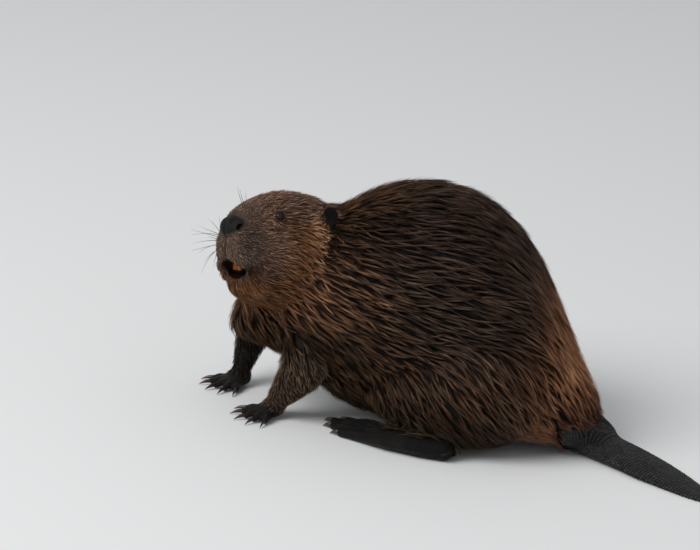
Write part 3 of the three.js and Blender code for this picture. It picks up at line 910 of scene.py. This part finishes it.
def coat_piece(name, corners, tint, along, steps, spots, material):
    count, per_hair = corners.shape[:2]
    quads, ends = hair_faces(steps)
    starts = (np.arange(count) * per_hair)[:, None, None]
    loops = np.concatenate([(starts + kind).reshape(count, -1) for kind in (quads, ends)], axis=1)
    sizes = np.tile([4] * len(quads) + [3] * len(ends), count)
    mesh = bpy.data.meshes.new(name)
    mesh.vertices.add(count * per_hair)
    mesh.loops.add(loops.size)
    mesh.polygons.add(len(sizes))
    mesh.vertices.foreach_set("co", corners.astype(np.float32).ravel())
    mesh.loops.foreach_set("vertex_index", loops.astype(np.int32).ravel())
    mesh.polygons.foreach_set("loop_start", np.concatenate([[0], np.cumsum(sizes)[:-1]]).astype(np.int32))
    mesh.update(calc_edges=True)
    mesh.shade_smooth()
    set_attribute(mesh, "tint", np.repeat(np.clip(tint, 0, 1), per_hair, axis=0))
    set_attribute(mesh, "along", np.tile(along, count))
    within = np.stack([np.tile([0, 1, 0.5], steps).tolist() + [0.5], along], axis=1) * PATCH
    on_map = (spots[:, None] + within[None]).reshape(-1, 2)[loops.ravel()]
    mesh.uv_layers.new(name="OFBake").data.foreach_set("uv", on_map.astype(np.float32).ravel())
    mesh.materials.append(material)
    piece = new_object(name, mesh)
    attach(piece, "root")
    return piece


def add_coat():
    material = coat_material()
    random = np.random.default_rng(7)
    for area, (parts, spacing, per_lock, steps, width) in COAT_AREAS.items():
        spacing *= MM
        depth, tint, line = locks(random, parts, spacing, steps)
        rises = RISE.get(area, EVEN_RISE)
        corners, tint, along = hairs(random, depth, tint, line, spacing, per_lock, steps, width * MM, rises)
        # how much of the painted root shade this area's hair is spared
        pale = ROOTS.get(area, 0)
        along = pale + (1 - pale) * along
        spots = unwrapped(corners[:, 0], parts)
        faces = 6 * (steps - 1) + 4
        pieces = math.ceil(len(corners) * faces / MOST_FACES)
        order = np.argsort(corners[:, 0, 1], kind="stable")
        for index, chosen in enumerate(np.array_split(order, pieces)):
            name = f"coat_{area}_{index + 1}"
            piece = coat_piece(name, corners[chosen], tint[chosen], along, steps, spots[chosen], material)


# ---- materials ----
def add_node(tree, kind, inputs=(), **settings):
    """A node with its settings made, and its inputs set to a value or linked to a socket."""
    node = tree.nodes.new(kind)
    for key, value in settings.items():
        setattr(node, key, value)
    for name, value in dict(inputs).items():
        if isinstance(value, bpy.types.NodeSocket):
            tree.links.new(value, node.inputs[name])
        else:
            node.inputs[name].default_value = value
    return node


class Finish:
    """A material while it is made: its shader, and the nodes that feed it."""

    def __init__(self, name, roughness, specular=0.5):
        self.material = bpy.data.materials.new(name)
        self.material.use_nodes = True
        self.tree = self.material.node_tree
        self.shader = self.tree.nodes["Principled BSDF"]
        self.shader.inputs["Roughness"].default_value = roughness
        self.shader.inputs["Specular IOR Level"].default_value = specular

    def node(self, kind, inputs=(), **settings):
        return add_node(self.tree, f"ShaderNode{kind}", inputs, **settings)

    def tint(self):
        return self.node("Attribute", attribute_name="tint").outputs["Color"]

    def share(self, name):
        return self.node("Attribute", attribute_name=name).outputs["Fac"]

    def mixed(self, share, first, second, kind="MIX"):
        """Two colours mixed; each is a colour or a socket, and share a number or a socket."""
        inputs = {0: share, 6: first, 7: second}
        return self.node("Mix", inputs, data_type="RGBA", blend_type=kind).outputs[2]

    def shaded(self, colour, shade):
        return self.mixed(1.0, colour, shade, "MULTIPLY")

    def mapped(self, value, low, high, to_low=0.0, to_high=1.0):
        inputs = {"Value": value, "From Min": low, "From Max": high, "To Min": to_low, "To Max": to_high}
        return self.node("MapRange", inputs).outputs["Result"]

    def noise(self, scale, detail, *span):
        """Noise on the place in the object, mapped to a span if one is given."""
        where = self.node("TexCoord").outputs["Object"]
        value = self.node("TexNoise", {"Vector": where, "Scale": scale, "Detail": detail}).outputs["Fac"]
        return self.mapped(value, *span) if span else value

    def plates(self, scale):
        """Small plates of leather: 0 in the creases between them."""
        where = self.node("TexCoord").outputs["Object"]
        inputs = {"Vector": where, "Scale": scale}
        return self.node("TexVoronoi", inputs, feature="DISTANCE_TO_EDGE").outputs["Distance"]

    def maths(self, kind, first, second):
        return self.node("Math", {0: first, 1: second}, operation=kind).outputs[0]

    def feed(self, name, value):
        self.tree.links.new(value, self.shader.inputs[name])

    def bumped(self, height, strength, far):
        inputs = {"Height": height, "Strength": strength, "Distance": far}
        self.feed("Normal", self.node("Bump", inputs).outputs["Normal"])


def coat_material():
    """Wet guard hair: painted near black at the root as shade deep in the coat, the marking's colour
    outwards, a soft gloss.
    """
    coat = Finish("wet coat", 0.38, 0.12)
    varied = coat.shaded(coat.tint(), coat.noise(14, 3, 0.3, 0.7, 0.8, 1.2))
    # painted shade: the inner part of each hair is darkened towards near black
    dark = coat.shaded(varied, (0.07, 0.05, 0.04, 1))
    coat.feed("Base Color", coat.mixed(coat.mapped(coat.share("along"), 0.2, 0.8), dark, varied))
    return coat.material


def skin_material():
    """Underfur and skin, painted dark as the shade between the locks, and the bare lids, lips and nose."""
    under = Finish("underfur and skin", 0.7, 0.18)
    tint, bare = under.tint(), under.share("bare")
    pebbles = under.plates(900)
    # painted shade: the leather is darker in the creases between its pebbles
    leather = under.shaded(tint, under.mapped(pebbles, 0.02, 0.3, 0.55, 1.15))
    fuzz = under.shaded(tint, under.noise(1300, 4, 0.35, 0.65, 0.45, 1.6))
    under.feed("Base Color", under.mixed(bare, fuzz, leather))
    under.feed("Roughness", under.mapped(bare, 0, 1, 0.75, 0.5))
    height = under.maths("MULTIPLY", under.mapped(pebbles, 0.0, 0.25), bare)
    under.bumped(under.maths("ADD", height, under.noise(1100, 4, 0.3, 0.7)), 0.35, 0.0006)
    return under.material


def leather_material():
    """The dark wrinkled leather of the feet, with painted shade in its creases."""
    foot = Finish("foot leather", 0.5, 0.18)
    plates, fine = foot.plates(420), foot.plates(1300)
    # painted shade: darker towards the creases between the plates, large and fine
    creases = foot.mapped(plates, 0.0, 0.25, 0.6, 1.1)
    shade = foot.maths("MULTIPLY", creases, foot.mapped(fine, 0, 0.3, 0.75, 1.1))
    shade = foot.maths("MULTIPLY", shade, foot.noise(45, 5, 0.3, 0.7, 0.65, 1.35))
    foot.feed("Base Color", foot.shaded(foot.tint(), shade))
    foot.feed("Roughness", foot.noise(120, 4, 0.3, 0.7, 0.38, 0.62))
    height = foot.maths("ADD", foot.mapped(plates, 0.0, 0.22), foot.mapped(fine, 0.0, 0.3, 0, 0.4))
    foot.bumped(height, 0.7, 0.0008)
    return foot.material


def tail_material(name, darkest, palest):
    """Dark grey tail leather, worn a little paler in places."""
    tail = Finish(name, 0.5, 0.18)
    wear = tail.noise(30, 6, 0.3, 0.72, darkest, palest)
    grain = tail.noise(900, 3, 0.3, 0.7, 0.8, 1.2)
    tail.feed("Base Color", tail.shaded(tail.tint(), tail.maths("MULTIPLY", wear, grain)))
    tail.feed("Roughness", tail.noise(200, 3, 0.3, 0.7, 0.4, 0.6))
    tail.bumped(tail.noise(1500, 3), 0.4, 0.0004)
    return tail.material


def horn_material():
    """Dark horn, paler and clearer towards the point, with fine lines along it."""
    horn = Finish("claw horn", 0.34)
    towards_point = horn.mapped(horn.share("along"), 0.35, 1.0)
    colour = horn.mixed(towards_point, (0.036, 0.02, 0.014, 1), (0.11, 0.066, 0.047, 1))
    horn.feed("Base Color", horn.shaded(colour, horn.noise(700, 4, 0.35, 0.65, 0.65, 1.25)))
    horn.bumped(horn.noise(900, 3), 0.25, 0.0003)
    return horn.material


def tooth_material():
    """Orange enamel on the front of the incisors, pale dentine behind and at the edge."""
    tooth = Finish("tooth enamel", 0.22, 0.25)
    enamel = tooth.mixed(tooth.noise(260, 4, 0.3, 0.7), (0.19, 0.04, 0.002, 1), (0.26, 0.07, 0.004, 1))
    behind = tooth.mapped(tooth.share("along"), 0.35, 0.65)
    tooth.feed("Base Color", tooth.mixed(behind, enamel, (0.4, 0.19, 0.05, 1)))
    tooth.bumped(tooth.noise(600, 3), 0.15, 0.0003)
    return tooth.material


def eye_material():
    """A near-black eye with a dark brown iris under a clear wet surface."""
    eye = Finish("eye", 0.05, 0.4)
    away = eye.share("along")
    iris = eye.mixed(eye.noise(900, 3, 0.35, 0.65), (0.016, 0.008, 0.004, 1), (0.04, 0.02, 0.01, 1))
    inner = eye.mixed(eye.mapped(away, 0.38, 0.44), (0.002, 0.002, 0.002, 1), iris)
    eye.feed("Base Color", eye.mixed(eye.mapped(away, 0.74, 0.9), inner, (0.006, 0.004, 0.003, 1)))
    return eye.material


def whisker_material():
    whisker = Finish("whisker", 0.5, 0.08)
    bands = whisker.noise(60, 2, 0.3, 0.7)
    whisker.feed("Base Color", whisker.mixed(bands, (0.012, 0.009, 0.007, 1), (0.035, 0.026, 0.02, 1)))
    return whisker.material


# ---- eyes, teeth and claws ----
def finished(piece, name, material, nodes=()):
    piece.name = name
    piece.data.materials.clear()
    piece.data.materials.append(material)
    piece.data.shade_smooth()
    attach(piece, "root")
    if nodes:
        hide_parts(*nodes)


def add_eyes():
    material = eye_material()
    for side, eye in EYES.items():
        ball = ellipsoid(in_head(eye) / MM, EYE_RADIUS, 40, 24)
        places, _ = mesh_arrays(ball.data)
        out = unit(places - eye)
        angle = np.arccos(np.clip(out @ eye_facing(side), -1, 1))
        cornea = 0.5 * MM * hill(angle / 0.6)
        set_places(ball.data, places + out * cornea[:, None])
        set_attribute(ball.data, "along", np.clip(angle / 1.2, 0, 1))
        finished(ball, f"eyeball_{side}", material, [f"eye_{side}"])


CLAW_STEPS = (-0.2, 0.0, 0.15, 0.32, 0.5, 0.68, 0.84, 0.95, 1.0)
CLAW_SIDES = 12


def claw_rings(node):
    """A curved, side-flattened claw from its node's root to its point."""
    corners = node_triangles(node).reshape(-1, 3)
    tip = corners[np.argmax(distance(corners, surface_middle(node)))]
    far = distance(corners, tip)
    ring = corners[far > 0.75 * far.max()]
    base = ring.mean(0)
    radius = distance(ring, base).max()
    axis = unit(tip - base)
    over = unit(np.array([0, 0, 1]) - axis * axis[2])
    across = np.cross(axis, over)
    length = np.linalg.norm(tip - base)
    turns = around(CLAW_SIDES)
    ridge = 1 + 0.25 * np.maximum(np.sin(turns), 0) ** 3
    rings = []
    for t in CLAW_STEPS:
        size = radius * (1 - 0.93 * max(t, 0) ** 1.4) * (0.9 if t < 0 else 1)
        centre = base + axis * length * t + over * (0.16 * length * max(t, 0) * (1 - max(t, 0)) * 2)
        sides, ends = np.cos(turns) * 0.78 * size, np.sin(turns) * ridge * size
        rings.append(centre + across * sides[:, None] + over * ends[:, None])
    rings = np.array(rings)
    rings[..., 2] = np.maximum(rings[..., 2], FLOOR_GAP)
    return rings


def add_claws():
    material = horn_material()
    along = np.repeat(np.linspace(0, 1, len(CLAW_STEPS)), CLAW_SIDES)
    for limb in ("fore", "hind"):
        for side in SIDES:
            nodes = [f"{limb}_claw_{side}_{k}" for k in range(1, 6)]
            claws = [closed_tube(node, claw_rings(node)) for node in nodes]
            for claw in claws:
                set_attribute(claw.data, "along", [*along, 0, 1])
            absorb(claws[0], claws[1:])
            finished(claws[0], f"{limb}_claws_{side}", material, nodes)


def add_teeth():
    """Two broad curved chisels with sloping edges."""
    material = tooth_material()
    turns = around(20)
    outline = np.stack([np.cos(turns), np.sin(turns)], axis=1)
    across, deep = (np.sign(outline) * np.abs(outline) ** 0.55).T
    for side in SIDES:
        rings, along = [], []
        for t in (0, 0.2, 0.4, 0.6, 0.8, 0.93, 1.0):
            back = 27 - 2.4 * math.sin(2.2 * t) + 1.2 * t
            bevel = 2.6 * max(0.0, t - 0.8) / 0.2
            up = -42 - 19.5 * t + 0 * turns + bevel * np.clip(deep, 0, 1) * 1.4
            ring = np.stack([4.2 + across * (4.0 - 0.25 * t), back + deep * (2.9 - 0.7 * t), up], axis=1)
            rings.append(ring * MIRROR[side])
            along += np.clip(0.5 + 0.9 * deep, 0, 1).tolist()
        tooth = closed_tube("tooth", from_head(np.array(rings) * MM))
        set_attribute(tooth.data, "along", [*along, 0.5, 0.9])
        finished(tooth, f"tooth_{side}", material, [f"incisor_{side}"])


# ---- Geometry Nodes ----
def new_tree(name, sizes):
    """A Geometry Nodes tree with a named input for each size, and its input sockets."""
    tree = bpy.data.node_groups.new(name, "GeometryNodeTree")
    for way in ("INPUT", "OUTPUT"):
        tree.interface.new_socket("Geometry", in_out=way, socket_type="NodeSocketGeometry")
    for label, size in sizes.items():
        kind = "NodeSocketInt" if isinstance(size, int) else "NodeSocketFloat"
        tree.interface.new_socket(label, in_out="INPUT", socket_type=kind).default_value = size
    return tree, add_node(tree, "NodeGroupInput").outputs


def named(tree, name, kind="FLOAT_VECTOR"):
    node = add_node(tree, "GeometryNodeInputNamedAttribute", {"Name": name}, data_type=kind)
    return node.outputs["Attribute"]


def end_tree(tree, geometry, material):
    """Makes what a tree has grown real, and gives it its material."""
    made = add_node(tree, "GeometryNodeRealizeInstances", {"Geometry": geometry})
    inputs = {"Geometry": made.outputs["Geometry"], "Material": material}
    dressed = add_node(tree, "GeometryNodeSetMaterial", inputs)
    add_node(tree, "NodeGroupOutput", {"Geometry": dressed.outputs["Geometry"]})
    return tree


def grown(points, tree, sizes):
    """Runs a Geometry Nodes tree on an object and keeps the result as its plain mesh."""
    modifier = points.modifiers.new("grow", "NODES")
    modifier.node_group = tree
    for item in tree.interface.items_tree:
        if item.in_out == "INPUT" and item.name in sizes:
            modifier[item.identifier] = sizes[item.name]
    mesh = evaluated_mesh(points)
    points.modifiers.clear()
    points.data = mesh
    set_places(mesh, mesh_arrays(mesh)[0])
    return points


# ---- scales of the tail ----
SCALE_SIZES = {"Scale width": 5.2 * MM, "Scale rise": 1.1 * MM}
SCALE_PITCH = 4.8 * MM
SCALE_ROW = 3.9 * MM
SCALE_TINT = (50, 50, 49)
SLICE_STEP, SLICE_HALF = 8 * MM, 6 * MM  # the tail's middle line is found from slices of it
RAYS = 240  # from all round the tail, to find a row's outline
LEAST_RAYS = 100  # with fewer of them on the skin, the row has run off the tail


def scatter_tree(material):
    """Six-sided low scales set on points, each turned to its own out and lie."""
    tree, given = new_tree("scales on points", SCALE_SIZES)
    radii = []
    for share in (0.5, 0.32):
        inputs = {0: given["Scale width"], 1: share}
        radii.append(add_node(tree, "ShaderNodeMath", inputs, operation="MULTIPLY").outputs[0])
    inputs = {"Vertices": 6, "Radius Bottom": radii[0], "Radius Top": radii[1], "Depth": given["Scale rise"]}
    scale = add_node(tree, "GeometryNodeMeshCone", inputs)
    turn = {}
    for axis, pivot, name in (("Z", "AUTO", "out"), ("Y", "Z", "lie")):
        inputs = {"Vector": named(tree, name), **turn}
        node = add_node(tree, "FunctionNodeAlignRotationToVector", inputs, axis=axis, pivot_axis=pivot)
        turn = {"Rotation": node.outputs["Rotation"]}
    inputs = {"Points": given["Geometry"], "Instance": scale.outputs["Mesh"], **turn}
    placed = add_node(tree, "GeometryNodeInstanceOnPoints", {"Scale": named(tree, "size"), **inputs})
    return end_tree(tree, placed.outputs["Instances"], material)


def tail_rows():
    """Staggered places for scales all round the tail, with their normals and the way of the tail."""
    on_tail = among(body.part_of, "tail")
    tail = body.places[on_tail]
    steps = np.arange(tail[:, 1].min(), tail[:, 1].max(), SLICE_STEP)
    slices = [tail[np.abs(tail[:, 1] - y) < SLICE_HALF] for y in steps]
    low, high = (np.array([ends(a, axis=0) for a in slices]) for ends in (np.min, np.max))
    middle_x, _, middle_z = ((low + high) / 2).T
    fit = np.polyfit(steps, middle_x, 3)
    half = (high - low)[:, 0] / 2
    run = np.concatenate([[0], np.cumsum(np.hypot(np.diff(steps), np.diff(high[:, 2])))])
    rows = np.interp(np.arange(-2 * SCALE_ROW, run[-1] + 2 * SCALE_ROW, SCALE_ROW), run, steps)
    turns = around(RAYS)
    found = []
    for index, y in enumerate(rows):
        inside = np.clip(y, steps[0] + 20 * MM, steps[-1])
        slope = np.polyval(np.polyder(fit), inside)
        middle = np.array([np.polyval(fit, inside) + slope * (y - inside), y, np.interp(y, steps, middle_z)])
        ahead = unit(np.array([slope, 1, 0]))
        across = np.array([ahead[1], -ahead[0], 0])
        aims = middle + across * (np.cos(turns) * 0.8 * np.interp(y, steps, half))[:, None]
        out = across * np.cos(turns)[:, None] + np.array([0, 0, 1]) * np.sin(turns)[:, None]
        outline = []
        for aim, way in zip(aims, out):
            place, normal, face, _ = body.tree.ray_cast(Vector(aim + way * 0.09), Vector(-way))
            if place is not None:
                outline.append((*place, *normal, float(on_tail[body.corners[face]].all())))
        outline = np.array(outline + outline[:1])
        if len(outline) < LEAST_RAYS:
            continue
        far = np.concatenate([[0], np.cumsum(np.linalg.norm(np.diff(outline[:, :3], axis=0), axis=1))])
        pitches = round(far[-1] / SCALE_PITCH)
        at = (np.arange(pitches) + 0.5 * (index % 2)) * far[-1] / pitches
        for row in np.array([np.interp(at, far, column) for column in outline.T]).T:
            if row[6] > 0.9:
                found.append((*row[:3], *unit(row[3:6]), *ahead))
    return np.array(found)


def add_scales():
    random = np.random.default_rng(11)
    rows = tail_rows()
    normal, lie = rows[:, 3:6], rows[:, 6:9]
    mesh = bpy.data.meshes.new("tail_scales")
    mesh.from_pydata((rows[:, :3] + normal * 0.05 * MM).tolist(), [], [])
    set_attribute(mesh, "out", unit(normal - 0.1 * lie), vector=True)
    set_attribute(mesh, "lie", lie, vector=True)
    set_attribute(mesh, "size", random.uniform(0.88, 1.06, (len(rows), 3)) * [1, 0.9, 1], vector=True)
    set_attribute(mesh, "tint", as_linear(*SCALE_TINT) * random.uniform(0.7, 1.4, len(rows))[:, None])
    material = tail_material("tail scales", 0.7, 1.2)
    piece = grown(new_object("tail_scales", mesh), scatter_tree(material), SCALE_SIZES)
    finished(piece, "tail_scales", material)
    piece.data.shade_flat()


# ---- whiskers ----
# Side, back and up of the foremost root of each row, in the head's frame, in mm; and of each brow hair.
WHISKER_ROWS = [(18, 9, -14), (20, 12, -19), (19, 10, -24), (21, 14, -29), (18, 12, -34)]
BROW_HAIRS = [(27, 50, 27), (29, 54, 29), (22, 42, 27)]
WHISKER_REACH = {"left": 1.0, "right": 1.45}  # those on the right stand out straighter and longer
WHISKER_SIZES = {"Sides": 5}
ROOT_RADIUS, TIP_RADIUS = 0.42, 0.08


def thread_tree(material):
    """Tapering threads along the edges of a mesh, by its own thickness."""
    tree, given = new_tree("threads along edges", WHISKER_SIZES)
    curve = add_node(tree, "GeometryNodeMeshToCurve", {"Mesh": given["Geometry"]})
    ring = add_node(tree, "GeometryNodeCurvePrimitiveCircle", {"Resolution": given["Sides"], "Radius": 1.0})
    inputs = {
        "Curve": curve.outputs["Curve"],
        "Profile Curve": ring.outputs["Curve"],
        "Scale": named(tree, "thickness", "FLOAT"),
        "Fill Caps": True,
    }
    tube = add_node(tree, "GeometryNodeCurveToMesh", inputs)
    return end_tree(tree, tube.outputs["Mesh"], material)


def whisker_line(random, root, heading, length, sag=1.0):
    """Places along one whisker: straight at first, then sagging and bending back."""
    heading = unit(np.array(heading) + random.normal(0, 0.1, 3))
    steps = np.linspace(0, 1, 9)[:, None]
    bend = np.array([0, 0.22, -0.16]) * sag + random.normal(0, 0.06, 3)
    return np.array(root) + steps * heading * length + steps**2 * bend * length


def whisker_lines(random, side):
    """All the whiskers and brow hairs of one side, in the head's frame, in mm."""
    reach = WHISKER_REACH[side]
    for row, (across, back, up) in enumerate(WHISKER_ROWS):
        for k in range(4):
            root = np.array([across - 1.2 * k + 1.5, back + 5.2 * k - 4, up + random.normal(0, 0.8)])
            length = random.uniform(42, 66) * (0.75 + 0.08 * k) * reach
            heading = (0.82, 0.05 + 0.22 * k, 0.18 - 0.12 * row)
            yield whisker_line(random, root, heading, length, 1.0 / reach**2) * MIRROR[side]
    for across, back, up in BROW_HAIRS:
        root = (across, back, up + random.normal(0, 1))
        yield whisker_line(random, root, (0.35, -0.1, 0.9), random.uniform(22, 34)) * MIRROR[side]


def add_whiskers():
    random = np.random.default_rng(5)
    lines = from_head(np.array([line for side in SIDES for line in whisker_lines(random, side)]) * MM)
    count, steps = lines.shape[:2]
    for line in lines:
        near, normal, _, _ = body.tree.find_nearest(Vector(line[0]))
        line += np.array(near) - np.array(normal) * 1.5 * MM - line[0]
    edges = [(k * steps + j, k * steps + j + 1) for k in range(count) for j in range(steps - 1)]
    mesh = bpy.data.meshes.new("whiskers")
    mesh.from_pydata(lines.reshape(-1, 3).tolist(), edges, [])
    set_attribute(mesh, "thickness", np.tile(np.linspace(ROOT_RADIUS, TIP_RADIUS, steps) * MM, count))
    material = whisker_material()
    threads = grown(new_object("whiskers", mesh), thread_tree(material), WHISKER_SIZES)
    finished(threads, "whiskers", material)


# ---- the skin's materials ----
def finish_skin():
    mesh = skin.data
    mesh.materials.clear()
    # The tail leather shows mostly in the gaps between the scales. Painting it at 0.15 to 0.4 of its tint is
    # painted shade in those gaps.
    for material in (skin_material(), leather_material(), tail_material("tail leather", 0.15, 0.4)):
        mesh.materials.append(material)
    bare = evened((~is_furred(body.places, body.part_of)).astype(float), body.edges, 2)
    on_head = evened(among(body.part_of, *FACE).astype(float), body.edges, 6)
    # Under the hair the skin is darkened to a tenth of the markings on the body and about a quarter on the
    # head: painted shade between the locks.
    underfur = blended(np.array([0.1, 0.08, 0.06]), np.array([0.26, 0.22, 0.19]), on_head)
    set_attribute(mesh, "tint", body.tint * blended(underfur, np.ones(3), bare))
    set_attribute(mesh, "bare", bare)
    kind = np.zeros(len(body.places), int)
    kind[among(body.part_of, *FEET)] = 1
    kind[among(body.part_of, "tail")] = 2
    mesh.polygons.foreach_set("material_index", kind[body.corners].max(1).astype(np.int32))
    mesh.shade_smooth()


add_coat()
finish_skin()
add_eyes()
add_claws()
add_teeth()
add_scales()
add_whiskers()

# ---- camera, floor and light ----
LENS_MM = 171.3
CAMERA_DISTANCE = 4.5
AZIMUTH, ELEVATION, ROLL = (math.radians(angle) for angle in (100, 18, 6.5))
AIM = np.array([64.1, -162.6, 212.3]) * MM
FLOOR_REACH = 12
FLOOR_COLOUR = (0.79, 0.79, 0.785, 1)
LAMP_PLACE = Vector((3.6, -3.4, 4.2))
LAMP_AIM = Vector((0, 0, 0.15))
LAMP_SIZE = 4.0
LAMP_POWER = 108
LAMP_SPREAD = math.radians(106)  # keeps the floor under the lamp as plain as the rest
SKY_COLOUR = (0.95, 0.975, 1, 1)
SKY_STRENGTH = 0.5


def add_camera():
    level = math.cos(ELEVATION)
    out = Vector((math.sin(AZIMUTH) * level, -math.cos(AZIMUTH) * level, math.sin(ELEVATION)))
    data = bpy.data.cameras.new("camera")
    data.lens = LENS_MM
    camera = new_object("camera", data)
    camera.rotation_mode = "QUATERNION"
    camera.rotation_quaternion = out.to_track_quat("Z", "Y") @ Matrix.Rotation(ROLL, 3, "Z").to_quaternion()
    camera.location = Vector(AIM) + out * CAMERA_DISTANCE
    bpy.context.scene.camera = camera


def add_floor():
    mesh = bpy.data.meshes.new("floor")
    corners = ((-1, -1), (1, -1), (1, 1), (-1, 1))
    mesh.from_pydata([(x * FLOOR_REACH, y * FLOOR_REACH, 0) for x, y in corners], [], [(0, 1, 2, 3)])
    floor = Finish("pale floor", 0.85)
    floor.shader.inputs["Base Color"].default_value = FLOOR_COLOUR
    mesh.materials.append(floor.material)
    new_object("floor", mesh)


def add_lamp():
    data = bpy.data.lights.new("soft light", "AREA")
    data.shape = "DISK"
    data.size = LAMP_SIZE
    data.energy = LAMP_POWER
    data.spread = LAMP_SPREAD
    lamp = new_object("soft light", data)
    lamp.location = LAMP_PLACE
    lamp.rotation_mode = "QUATERNION"
    lamp.rotation_quaternion = (LAMP_PLACE - LAMP_AIM).to_track_quat("Z", "Y")


def add_world():
    world = bpy.data.worlds.new("studio")
    world.use_nodes = True
    sky = world.node_tree.nodes["Background"]
    sky.inputs["Color"].default_value = SKY_COLOUR
    sky.inputs["Strength"].default_value = SKY_STRENGTH
    bpy.context.scene.world = world


add_camera()
add_floor()
add_lamp()
add_world()
bpy.context.scene.view_settings.view_transform = "Standard"
